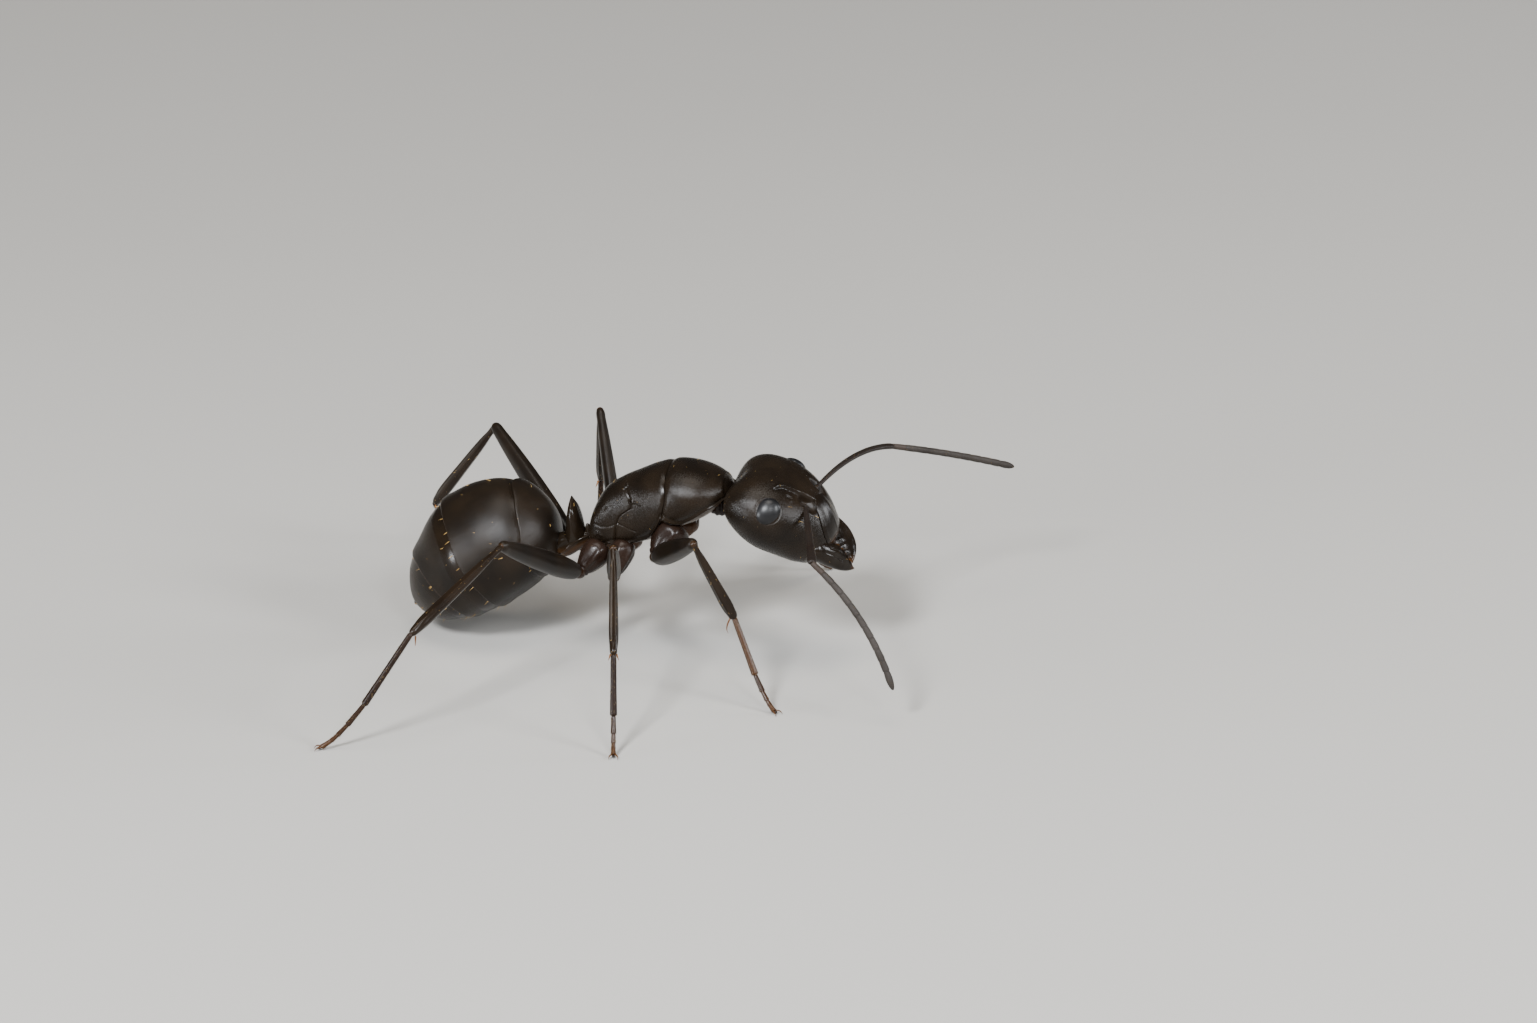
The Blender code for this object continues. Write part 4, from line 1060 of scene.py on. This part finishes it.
class ANT_OT_head(bpy.types.Operator):
    """Builds the head with its ridges and pits, and the clypeus over the mouth"""
    bl_idname = "ant.head"
    bl_label = "Head"
    ridge_width = 0.03
    ridge_gloss, socket_gloss, mouth_gloss = 0.75, 0.60, 0.5
    pit_dullness = 0.45
    socket_thin, mouth_thin = 0.006, 0.08
    clypeus_gloss, margin_gloss, margin_thin = 0.35, 0.4, 0.09

    def execute(self, context):
        rows, columns = GRIDS["head"]
        points = head_lobes(loft(HEAD, shares(rows), angles(columns)))
        points = swell(points, head_relief(points))
        x, y, z = axes(points)
        side = np.abs(y)
        above = ramp(z, *SHINE_REACH)
        ridge = hill(line_distance(x, side, CARINA), self.ridge_width) * above
        socket = hill(oval(x, side, SOCKET, SOCKET_SHINE)) * above
        pit = np.exp(-oval(x, side, PIT, PIT_SHADE) ** 4) * above
        mouth = ramp(x, *MOUTH_REACH)
        gloss = np.maximum(self.ridge_gloss * ridge, self.socket_gloss * socket)
        gloss = np.maximum(gloss, self.mouth_gloss * mouth)
        SKINS["head"] = on_head(points)
        parts = [closed(SKINS["head"], gloss=gloss, matt=self.pit_dullness * pit,
                        thin=self.socket_thin * socket + self.mouth_thin * mouth)]
        make_piece("head_shell", parts, "black_shell", ["head"])
        self.build_clypeus()
        return {"FINISHED"}

    def build_clypeus(self):
        """A shield laid on the face: a roof along its middle, edges that meet the head, and an underside."""
        rows, columns = GRIDS["clypeus"]
        angle = angles(columns)
        x, width, lift = axes(blend(CLYPEUS, shares(rows)))
        width, lift = np.maximum(width, 0), np.maximum(lift, 0)
        across, over = np.cos(angle), np.abs(np.sin(angle))
        y = width * across
        ground = face_height(np.minimum(x, CLYPEUS_BEND), y) - CLYPEUS_SLOPE * np.maximum(x - CLYPEUS_BEND, 0)
        roof = lift * (1 - np.abs(across) ** ROOF_POWERS[0]) ** ROOF_POWERS[1] + CLYPEUS_THICKNESS
        roof = roof + mound(np.abs(across), CLYPEUS_BEAD) + mound(across, CLYPEUS_KEEL) * ramp(x, *KEEL_REACH)
        rise = np.where(np.sin(angle) > 0, roof * over ** RISE_POWER, -CLYPEUS_SINK * over)
        rise = rise * np.minimum(1, width / CLYPEUS_TAPER)
        SKINS["clypeus"] = on_head(np.stack(np.broadcast_arrays(x, y, ground + rise), axis=-1))
        front = ramp(x, *CLYPEUS_MARGIN)
        parts = [closed(SKINS["clypeus"], gloss=self.clypeus_gloss + self.margin_gloss * front,
                        thin=self.margin_thin * front)]
        make_piece("clypeus_shell", parts, "black_shell")


class ANT_OT_eyes(bpy.types.Operator):
    """Builds both compound eyes with their six-sided facets"""
    bl_idname = "ant.eyes"
    bl_label = "Eyes"
    facet, dome = 0.026, 0.0002
    facet_spread = 0.29         # millimetres along the eye for a radian from its middle
    facet_start = math.pi / 2.6     # where the facets begin, as a turn from the hidden pole

    def execute(self, context):
        rows, columns = GRIDS["eye"]
        fall, angle = shares(rows) * np.pi, angles(columns)
        ring = np.stack([np.cos(angle), np.sin(angle)], axis=-1)
        depth = np.broadcast_to(-np.cos(fall)[..., None], (rows, columns, 1))
        ball = np.concatenate([np.sin(fall)[..., None] * ring, depth], axis=-1) * EYE_RADII
        flat = ((np.pi - fall) * self.facet_spread)[..., None] * ring
        cell = np.array([self.facet, self.facet * math.sqrt(3)])
        even = (flat + cell / 2) % cell - cell / 2
        odd = flat % cell - cell / 2
        away = np.minimum(np.linalg.norm(even, axis=-1), np.linalg.norm(odd, axis=-1)) / (self.facet / 2)
        rise = self.dome * (1 - np.clip(away, 0, 1.15) ** 2) * (fall > self.facet_start)
        ball = turned(swell(ball, rise) - (0, 0, EYE_DEPTH), pitch=EYE_LEAN)
        for name, sign in SIDES.items():
            centre = np.array(EYE_CENTRE) * (1, sign, 1)
            points = on_head(turned(ball, roll=-sign * EYE_TILT, origin=centre))
            parts = [closed(points, facet=np.clip(1 - away, 0, 1))]
            make_piece("eye_%s_facets" % name, parts, "eye_surface", ["eye_" + name])
        return {"FINISHED"}


class ANT_OT_jaws(bpy.types.Operator):
    """Builds the two toothed mandibles and the mouthparts behind them"""
    bl_idname = "ant.jaws"
    bl_label = "Jaws"
    edge_thinning, edge_across, edge_along = 0.55, (0.2, 1.0), (0.2, 0.6)   # the blade's, at its inner edge
    fullness = 0.8
    root_gloss, tip_gloss, gloss_reach, mouth_gloss = 0.50, 0.10, (0.4, 0.8), 0.5
    bite_thin, bite_across, bite_along = 0.25, (0.75, 1.0), (0.35, 0.6)
    tip_thin, tip_reach = 0.12, (0.98, 1.2)

    def execute(self, context):
        rows, columns = GRIDS["mandible"]
        x, outer, inner, thick = axes(blend(MANDIBLE, shares(rows)))
        across = np.cos(angles(columns))
        inner = np.minimum(inner + self.bite(x), outer)
        y = (outer + inner) / 2 + (outer - inner) / 2 * across
        blade = 1 - self.edge_thinning * ramp(-across, *self.edge_across) * ramp(x, *self.edge_along)
        z = np.maximum(thick, 0) * blade * signed_power(np.sin(angles(columns)), self.fullness)
        points = np.stack(np.broadcast_arrays(x, y, z), axis=-1)
        for line in BLADE_LINES:
            points = swell(points, mound(line_distance(x + 0 * y, y, line), BLADE_GROOVE))
        bow = np.sin(np.pi * np.clip(x / BOW_LENGTH, 0, 1))[..., None] * (0, 1, 0)
        thin = self.bite_thin * ramp(-across, *self.bite_across) * ramp(x, *self.bite_along)
        thin = thin + self.tip_thin * ramp(x, *self.tip_reach)
        gloss = self.root_gloss + self.tip_gloss * ramp(x, *self.gloss_reach)
        for name, sign in SIDES.items():
            jaw = JAWS[name]
            # A mirrored grid's columns are put in the opposite order, so that it still faces outwards.
            sided = ((points + jaw["bow"] * bow) * (1, sign, 1))[:, ::sign]
            world = on_head(turned(sided, -sign * jaw["roll"], jaw["drop"], -sign * jaw["turn"], jaw["root"]))
            SKINS["mandible_" + name] = world
            make_piece("mandible_%s_blade" % name, [closed(world, gloss=gloss, thin=thin[:, ::sign])],
                       "black_shell", ["mandible_" + name])
        self.build_mouth()
        return {"FINISHED"}

    def bite(self, x):
        """How far the inner edge moves in or out: a row of pointed teeth on an edge set back a little."""
        place = (x - TEETH_START) / (TEETH_END - TEETH_START) * TEETH
        tooth = (1 - np.abs(2 * (place % 1) - 1)) ** TOOTH_POWER * between(x, TEETH_RISE, TEETH_FALL)
        return TOOTH_ROOT * ramp(x, *TOOTH_ROOT_RISE) * (x < BITE_END) - TOOTH_DEPTH * tooth

    def build_mouth(self):
        """Lower lip and cheeks as flat lofts, and two pairs of jointed palps folded under them."""
        parts = [limb(BALL_FORM, start, end, radius, GRIDS["mouth"], up=(0, lean, 1))
                 for lean, start, end, radius in MOUTH]
        for sign in SIDES.values():
            for out, line in PALPS:
                knots = [(x, sign * out, z) for x, z in line]
                parts += [limb(RING_FORM, start, end, PALP_RADIUS, GRIDS["palp"])
                          for start, end in zip(knots[:-1], knots[1:])]
        parts = [closed(on_head(part), gloss=self.mouth_gloss) for part in parts]
        make_piece("mouthparts", parts, "brown_shell")


class ANT_OT_neck(bpy.types.Operator):
    """Builds the ringed neck between the collar and the head"""
    bl_idname = "ant.neck"
    bl_label = "Neck"
    gloss = 0.3

    def execute(self, context):
        points = limb(COXA_FORM, *NECK, NECK_RADIUS, GRIDS["neck"],
                      relief=lambda share, angle: NECK_RING_HEIGHT * np.cos(share * NECK_WAVE))
        make_piece("neck_rings", [closed(points, gloss=self.gloss)], "brown_shell", ["neck"])
        return {"FINISHED"}


# ---- feelers and legs ----

def thin_ends(points, ends):
    """How thin a limb's shell looks along it: at its root up to one share, and at its end from another."""
    (root, *root_reach), (end, *end_reach) = ends
    share = shares(len(points))
    return root * (1 - ramp(share, *root_reach)) + end * ramp(share, *end_reach)


class ANT_OT_feelers(bpy.types.Operator):
    """Builds each feeler: a bulb in its pit, the long scape and eleven rings beyond the elbow"""
    bl_idname = "ant.feelers"
    bl_label = "Feelers"

    def execute(self, context):
        for side, sign in SIDES.items():
            azimuth, elevation, length, bow = FEELERS[side]["scape"]
            elbow = on_head(np.array(SCAPE_SOCKET) * (1, sign, 1)) + direction(azimuth, elevation) * length
            root = on_head((SOCKET[0], sign * SOCKET[1], SOCKET_HEIGHT))
            scape = limb(SCAPE_FORM, root, elbow, size("scape_radius"), GRIDS["scape"], bow)
            SKINS["scape_" + side] = scape
            parts = [closed(scape, thin=thin_ends(scape, SCAPE_THIN))]
            make_piece("scape_%s_shell" % side, parts, "scape_skin", ["scape_" + side])
            self.build_rings(side, elbow)
        return {"FINISHED"}

    def build_rings(self, side, elbow):
        """The rings beyond the elbow, strung on a bowed line, each a little wider than the one before."""
        azimuth, elevation, length, bow = FEELERS[side]["funiculus"]
        reach, bow = direction(azimuth, elevation) * length, np.array(bow)
        knots = [elbow + reach * share + bow * 4 * share * (1 - share) for share in FUNICULUS_JOINTS]
        parts = []
        for number, (start, end) in enumerate(zip(knots[:-1], knots[1:])):
            first, last = number == 0, number == len(knots) - 2
            radius = (FIRST_RING if first else OTHER_RINGS) * (1 + RING_GROWTH * number)
            ring = limb(LAST_RING_FORM if last else RING_FORM, start, end, size("funiculus_radius") * radius,
                        GRIDS["ring"])
            SKINS["funiculus_%s_%d" % (side, number)] = ring
            parts.append(closed(ring, thin=FIRST_RING_THIN * first))
        make_piece("funiculus_%s_rings" % side, parts, "feeler_skin", ["funiculus_" + side])


def leg_line(pair, side):
    """The leg's joints: where the coxa starts, hip, knee, ankle, and a function of share along the tarsus."""
    sizes, pose = LEGS[pair], POSES[(pair, side)]
    mirror = np.array([1, SIDES[side], 1])
    root = np.array(sizes["coxa"]) * mirror
    hip = np.array(sizes["hip"]) * mirror + pose.get("swing", (0, 0, 0))
    knee = hip + direction(*pose["femur"]) * sizes["femur"]
    ankle = knee + direction(*pose["tibia"]) * sizes["tibia"]
    azimuth, reach = pose["tarsus"]
    least = size("tarsus_radius")

    def tarsus(share):
        point = ankle + direction(azimuth, 0) * reach * share
        point[2] = least + (ankle[2] - least) * (1 - share) ** TARSUS_CURL
        return point
    return root, hip, knee, ankle, tarsus


def ridged(share, angle, ridges, rise, fall):
    """Ridges along a limb, of some height, number and turn, that come and go over two reaches of shares."""
    height, count, turn = ridges
    return height * np.cos(count * angle + turn) * between(share, rise, fall)


def ribbed(share, angle):
    """Broad ribs along a coxa, deepest at its middle, and a groove round its far end."""
    return ridged(share, angle, *COXA_RIBS) + mound(share, COXA_GROOVE)


def fluted(share, angle):
    """Long shallow flutes along a tibia that fade at its ends."""
    return ridged(share, angle, *TIBIA_FLUTES)


def keeled(share, angle):
    """A low keel along a femur's lower side."""
    keel, rise, fall = FEMUR_KEEL
    return mound(angle / TAU, keel) * between(share, rise, fall)


def build_leg(pair, side):
    """Coxa with its trochanter, femur, tibia with spurs, and the five-jointed tarsus with its claws."""
    root, hip, knee, ankle, tarsus = leg_line(pair, side)
    sizes = LEGS[pair]
    label = "%s_%s" % (pair, side)
    thigh, shin = unit(knee - hip), unit(ankle - knee)
    coxa = limb(COXA_FORM, root, hip, sizes["coxa_radius"], GRIDS["coxa"], up=(0.3, 0, 1), relief=ribbed)
    trochanter = limb(BALL_FORM, hip - thigh * TROCHANTER_BACK, hip + thigh * TROCHANTER_AHEAD,
                      TROCHANTER_RADIUS, GRIDS["trochanter"])
    femur = limb(FEMUR_FORM, hip, knee, sizes["femur_radius"], GRIDS["femur"], relief=keeled)
    tibia = limb(TIBIA_FORM, knee, ankle, size("tibia_radius") * sizes["shin"], GRIDS["tibia"], relief=fluted)
    ball = limb(BALL_FORM, knee - shin * KNEE_REACH, knee + shin * KNEE_REACH, KNEE_RADIUS, GRIDS["knee"])
    for kind, points in (("coxa", coxa), ("trochanter", trochanter), ("femur", femur), ("tibia", tibia)):
        SKINS["%s_%s" % (kind, label)] = points
    # Painted light: the coxa's lower side is tinted amber, as light shining through its thin shell.
    under = ramp(-np.sin(angles(coxa.shape[1])), *COXA_GLOW_REACH)
    parts = [closed(coxa, thin=COXA_UNDERSIDE_GLOW * under, **LIMB_MARKS["coxa"]),
             closed(trochanter, **LIMB_MARKS["trochanter"])]
    make_piece("coxa_%s_shell" % label, parts, "brown_shell", ["coxa_" + label])
    parts = [closed(femur, thin=thin_ends(femur, FEMUR_THIN), **LIMB_MARKS["femur"])]
    make_piece("femur_%s_shell" % label, parts, "black_shell", ["femur_" + label])
    parts = [closed(tibia, thin=SHIN_THIN + thin_ends(tibia, TIBIA_THIN), **LIMB_MARKS["tibia"]),
             closed(ball, **LIMB_MARKS["knee"])]
    make_piece("tibia_%s_shell" % label, parts, "black_shell", ["tibia_" + label])
    build_spurs(label, sizes, shin, ankle, tarsus)
    build_tarsus(label, pair, tarsus)


def build_spurs(label, sizes, ahead, ankle, tarsus):
    """Spurs at the tibia's end: a long bowed one on a front leg, and two short ones on the others."""
    heel = unit(tarsus(HEEL_SHARE) - ankle)
    out = unit(np.cross(ahead, (0, 0, 1)))
    inner = unit(np.cross(out, ahead))
    inner = inner * -np.sign(inner[2])
    back, inwards, sideways = SPUR_ROOT
    parts = []
    for lean in sizes["spurs"]:
        way = unit(heel + inner * SPUR_INWARDS + out * lean * SPUR_SIDEWAYS)
        start = ankle - ahead * back + inner * inwards + out * lean * sideways
        spur = limb(SPIKE_FORM, start, start + way * sizes["spur"], SPUR_RADIUS, GRIDS["spike"],
                    bow=inner * sizes["spur_bow"])
        parts.append(closed(spur, **LIMB_MARKS["spur"]))
    make_piece("spurs_" + label, parts, "amber_shell")


def build_tarsus(label, pair, tarsus):
    """Five joints strung on the tarsus's line, a pad and two hooked claws that reach the floor."""
    knots = [tarsus(share) for share in TARSUS_JOINTS]
    parts = []
    for number, (start, end) in enumerate(zip(knots[:-1], knots[1:])):
        radius = size("tarsus_radius") * TARSOMERE_SIZES[number]
        part = limb(TARSOMERE_FORM, start, end, radius, GRIDS["tarsomere"])
        SKINS["tarsus_%s_%d" % (label, number)] = part
        thin = FRONT_FOOT_THIN if number == 0 and pair == "front" else FOOT_THIN * number
        parts.append(closed(part, thin=thin, **LIMB_MARKS["tarsomere"]))
    end = knots[-1]
    ahead = unit((end - knots[-2]) * (1, 1, 0))
    foot = np.array([ahead, np.cross(ahead, (0, 0, 1)), (0, 0, 1)])     # ahead, out to the right, and up
    parts.append(closed(limb(BALL_FORM, *(end + PAD @ foot), PAD_RADIUS, GRIDS["pad"])))
    for lean in (-1, 1):
        start, hook, bow = CLAW * (1, lean, 1) @ foot
        start, hook = end + start, end + hook
        hook[2] = CLAW_HEIGHT
        claw = limb(SPIKE_FORM, start, hook, CLAW_RADIUS, GRIDS["spike"], bow=bow)
        parts.append(closed(claw, **LIMB_MARKS["claw"]))
    make_piece("tarsus_%s_joints" % label, parts, "brown_shell", ["tarsus_" + label])


class ANT_OT_legs(bpy.types.Operator):
    """Builds the six legs down to their claws"""
    bl_idname = "ant.legs"
    bl_label = "Legs"

    def execute(self, context):
        for pair in PAIRS:
            for side in SIDES:
                build_leg(pair, side)
        return {"FINISHED"}


# ---- bristles ----

def cells(points):
    """Each cell's normal, as long as the cell is large, and the grid shifted by one column."""
    beside = np.roll(points, -1, axis=1)
    return np.cross(beside[:-1] - points[:-1], points[1:] - points[:-1]), beside


def scatter(points, count, rng, least_height=None):
    """Random places on a grid: cells are drawn by their area, if they lie high enough, then a place in each.

    Gives the places, normals, directions along the rows and places on the unrolled grid from 0 to 1.
    """
    normal, beside = cells(points)
    weight = np.linalg.norm(normal, axis=-1)
    if least_height:
        weight = weight * (points[:-1, :, 2] > least_height)
    drawn = rng.choice(weight.size, count, p=(weight / weight.sum()).ravel())
    row, column = np.divmod(drawn, points.shape[1])
    down, across = rng.random((2, count, 1))
    near = points[row, column] * (1 - across) + beside[row, column] * across
    far = points[row + 1, column] * (1 - across) + beside[row + 1, column] * across
    spot = np.column_stack([(column + across[:, 0]) / points.shape[1],
                            (row + down[:, 0]) / (len(points) - 1)])
    return near * (1 - down) + far * down, unit(normal[row, column]), unit(far - near), spot


def hair_triangles():
    """One hair's triangles: two bands between its three rings of three corners, its tip and its foot."""
    bands = []
    for ring in range(2):
        for corner in range(3):
            a, b = 3 * ring + corner, 3 * ring + (corner + 1) % 3
            bands += [(a, b, b + 3), (a, b + 3, a + 3)]
    return np.array(bands + [(6, 7, 9), (7, 8, 9), (8, 6, 9), (2, 1, 0)])


def hairs(roots, ways, droops, lengths, width, spots):
    """Three-sided spikes. A hair's middle line is root + way * s + droop * s * s, and it thins to its tip."""
    count = len(roots)
    helper = np.where(np.abs(ways[:, 2:]) < UPRIGHT, (0.0, 0.0, 1.0), (1.0, 0.0, 0.0))
    side = unit(np.cross(ways, helper))
    other = np.cross(ways, side)
    line = [roots + lengths[:, None] * (ways * s + droops * s * s) for s in (*HAIR_STEPS, 1.0)]
    turns = np.arange(3) * TAU / 3
    rim = side[:, None] * np.cos(turns)[:, None] + other[:, None] * np.sin(turns)[:, None]
    rings = [centre[:, None] + rim * width * (1 - HAIR_TAPER * s) for centre, s in zip(line, HAIR_STEPS)]
    vertices = np.concatenate([*rings, line[-1][:, None]], axis=1)
    patch = HAIR_PATCH * np.column_stack([np.cos(turns), np.sin(turns)])
    patches = [spots[:, None] + patch * (1 - 0.6 * s) + (0, 0.001 * s) for s in HAIR_STEPS]
    uv = np.concatenate([*patches, spots[:, None] + (0, HAIR_PATCH)], axis=1)
    triangles = (hair_triangles()[None] + 10 * np.arange(count)[:, None, None]).reshape(-1, 3)
    return {"vertices": vertices.reshape(-1, 3), "triangles": triangles, "marks": {}, "uv": uv.reshape(-1, 2)}


def tile(spots, number, total):
    """Moves places on one unrolled skin into a square of its own on the map that several share."""
    across = math.ceil(math.sqrt(total))
    return (TILE_MARGIN + (1 - 2 * TILE_MARGIN) * spots + (number % across, number // across)) / across


def grow(names, amount, rng, length, width, lift, droop, way=1, least_height=None):
    """Hairs on several skins: a count for each of them, or as many as grow on a square millimetre.

    lift 1 stands them up and 0 lays them along the rows, forwards for way 1 and backwards for way -1; droop
    bends them over.
    """
    kind, number_of = amount
    parts = []
    for number, name in enumerate(names):
        area = np.linalg.norm(cells(SKINS[name])[0], axis=-1).sum()
        count = number_of if kind == "each" else int(number_of * area)
        if not count:
            continue
        roots, normals, along, spots = scatter(SKINS[name], count, rng, least_height)
        stray = rng.normal(0, HAIR_STRAY, (count, 3))
        ways = unit(normals * lift + along * way * (1 - lift) + stray)
        lengths = length * (1 + LENGTH_SPREAD * rng.uniform(-1, 1, count))
        droops = along * way * droop - normals * HAIR_SAG * droop
        parts.append(hairs(roots - normals * HAIR_SINK, ways, droops, lengths, width,
                           tile(spots, number, len(names))))
    return parts


def edge_bristles(rng, length):
    """A loose row of bristles along the rear edge of each segment, pointing back and out."""
    parts = []
    for number, edge in enumerate(GASTER_EDGES):
        angle = angles(EDGE_COUNT) + rng.normal(0, EDGE_TURN_STRAY, EDGE_COUNT)
        table = tuple((down, place + EDGE_INSET) for down, place in edge)
        points = gaster_skin(share_at(GASTER, table, angle), angle)
        normals = unit(points * (0, 1, 1) - EDGE_AXIS)
        ways = unit(normals * EDGE_LIFT + (-1.0, 0, 0) + rng.normal(0, EDGE_STRAY, points.shape))
        roots, ends = on_gaster(points), on_gaster(points + ways)
        spots = np.column_stack([angle / TAU, np.full(EDGE_COUNT, 0.1)])
        droops = np.broadcast_to(EDGE_DROOP, points.shape)
        lengths = length * rng.uniform(*EDGE_LENGTHS, EDGE_COUNT)
        parts.append(hairs(roots, unit(ends - roots), droops, lengths, EDGE_WIDTH, tile(spots, number, 4)))
    return parts


class ANT_OT_bristles(bpy.types.Operator):
    """Grows the standing bristles and the short flat down over the body, legs and feelers"""
    bl_idname = "ant.bristles"
    bl_label = "Bristles"

    def execute(self, context):
        rng = np.random.default_rng(SEED)
        for piece, (finish, kinds, amount, (setting, share), *rest) in COATS.items():
            names = [name for name in SKINS if name.split("_")[0] in kinds]
            if kinds is BODY:
                names.sort(key=lambda name: kinds.index(name.split("_")[0]))
            parts = edge_bristles(rng, size("bristle")) if piece == "gaster_bristles" else []
            parts += grow(names, amount, rng, size(setting) * share, *rest)
            make_piece(piece, parts, finish)
        return {"FINISHED"}


# ---- stage ----

def view_axes(azimuth, elevation):
    """Across, up and towards the viewer, for a view from that azimuth and elevation."""
    across = direction(azimuth, 0)
    towards = direction(azimuth - 90, elevation)
    return across, np.cross(towards, across), towards


def aim(thing, place, target):
    """Puts a lamp or camera at a place and points it at a target, both in millimetres."""
    towards = unit(np.array(place) - np.array(target))
    across = unit(np.cross((0, 0, 1), towards))
    up = np.cross(towards, across)
    matrix = np.eye(4)
    matrix[:3, :3] = np.column_stack([across, up, towards])
    matrix[:3, 3] = np.array(place) * MM
    thing.matrix_world = [list(column) for column in matrix.T]


class ANT_OT_stage(bpy.types.Operator):
    """Lays a plain pale floor and sets up soft lamps, the sky and the camera"""
    bl_idname = "ant.stage"
    bl_label = "Stage"

    def execute(self, context):
        self.build_floor(context)
        self.build_lamps(context)
        self.build_camera(context)
        return {"FINISHED"}

    def build_floor(self, context):
        """A flat square grid, two metres across."""
        line = np.linspace(-FLOOR_HALF, FLOOR_HALF, FLOOR_LINES)
        x, y = np.meshgrid(line, line)
        vertices = np.column_stack([x.ravel(), y.ravel(), np.zeros(x.size)])
        corner = np.arange(x.size).reshape(x.shape)
        faces = np.stack([corner[:-1, :-1], corner[:-1, 1:], corner[1:, 1:], corner[1:, :-1]], axis=-1)
        mesh = bpy.data.meshes.new("floor")
        mesh.from_pydata(vertices.tolist(), [], faces.reshape(-1, 4).tolist())
        made, tree, shader, place = blank_finish("floor_finish")
        shade = spread(tree, noise(tree, place, FLOOR_CLOUDS), *SPECKS)
        tint = mix_colour(tree, shade, colour("floor"), colour("floor", FLOOR_PALER))
        tree.links.new(tint, shader.inputs["Base Color"])
        shader.inputs["Roughness"].default_value = FLOOR_ROUGHNESS
        mesh.materials.append(made)
        floor = bpy.data.objects.new("floor", mesh)
        context.scene.collection.objects.link(floor)

    def build_lamps(self, context):
        """Six soft lamps round the ant and a dim sky."""
        target = SHIFT + LAMP_TARGET
        for name, (azimuth, elevation, distance, width, watts, tint) in LAMPS.items():
            lamp = bpy.data.lights.new(name, "AREA")
            lamp.shape = "DISK" if name == "top_lamp" else "SQUARE"
            lamp.size = width * MM
            lamp.energy = watts
            lamp.color = tint
            holder = bpy.data.objects.new(name, lamp)
            context.scene.collection.objects.link(holder)
            aim(holder, target + view_axes(azimuth, elevation)[2] * distance, target)
        world = bpy.data.worlds.new("sky")
        world.use_nodes = True
        background = world.node_tree.nodes["Background"]
        background.inputs["Color"].default_value = SKY_COLOUR
        background.inputs["Strength"].default_value = SKY_STRENGTH
        context.scene.world = world

    def build_camera(self, context):
        """A long lens a little above the ant, on its right."""
        across, up, towards = view_axes(VIEW_AZIMUTH, VIEW_ELEVATION)
        target = SHIFT + across * VIEW_ACROSS + up * VIEW_UP
        camera = bpy.data.cameras.new("camera")
        camera.lens = FOCAL_LENGTH
        camera.sensor_width = SENSOR
        camera.clip_start, camera.clip_end = CLIP
        holder = bpy.data.objects.new("camera", camera)
        context.scene.collection.objects.link(holder)
        aim(holder, target + towards * VIEW_DISTANCE, target)
        context.scene.camera = holder


# ---- panel and run ----

STEPS = (
    ANT_OT_stage, ANT_OT_trunk, ANT_OT_gaster, ANT_OT_waist, ANT_OT_head, ANT_OT_eyes, ANT_OT_jaws,
    ANT_OT_neck, ANT_OT_feelers, ANT_OT_legs, ANT_OT_bristles,
)


class ANT_PT_panel(bpy.types.Panel):
    """Lists the ant's pieces, sizes and colours"""
    bl_idname = "ANT_PT_panel"
    bl_label = "Carpenter ant"
    bl_space_type = "VIEW_3D"
    bl_region_type = "UI"
    bl_category = "Ant"

    def draw(self, context):
        for step in STEPS:
            self.layout.operator(step.bl_idname)
        for group in (context.scene.ant_sizes, context.scene.ant_colours):
            for name in group.__annotations__:
                self.layout.prop(group, name)


CLASSES = (AntSizes, AntColours, *STEPS, ANT_PT_panel)


def register():
    for made in CLASSES:
        bpy.utils.register_class(made)
    bpy.types.Scene.ant_sizes = bpy.props.PointerProperty(type=AntSizes)
    bpy.types.Scene.ant_colours = bpy.props.PointerProperty(type=AntColours)


def unregister():
    del bpy.types.Scene.ant_colours
    del bpy.types.Scene.ant_sizes
    for made in reversed(CLASSES):
        bpy.utils.unregister_class(made)


def main():
    """Registers the add-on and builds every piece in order."""
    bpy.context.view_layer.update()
    register()
    for step in STEPS:
        group, name = step.bl_idname.split(".")
        getattr(getattr(bpy.ops, group), name)()


if __name__ == "__main__":
    main()
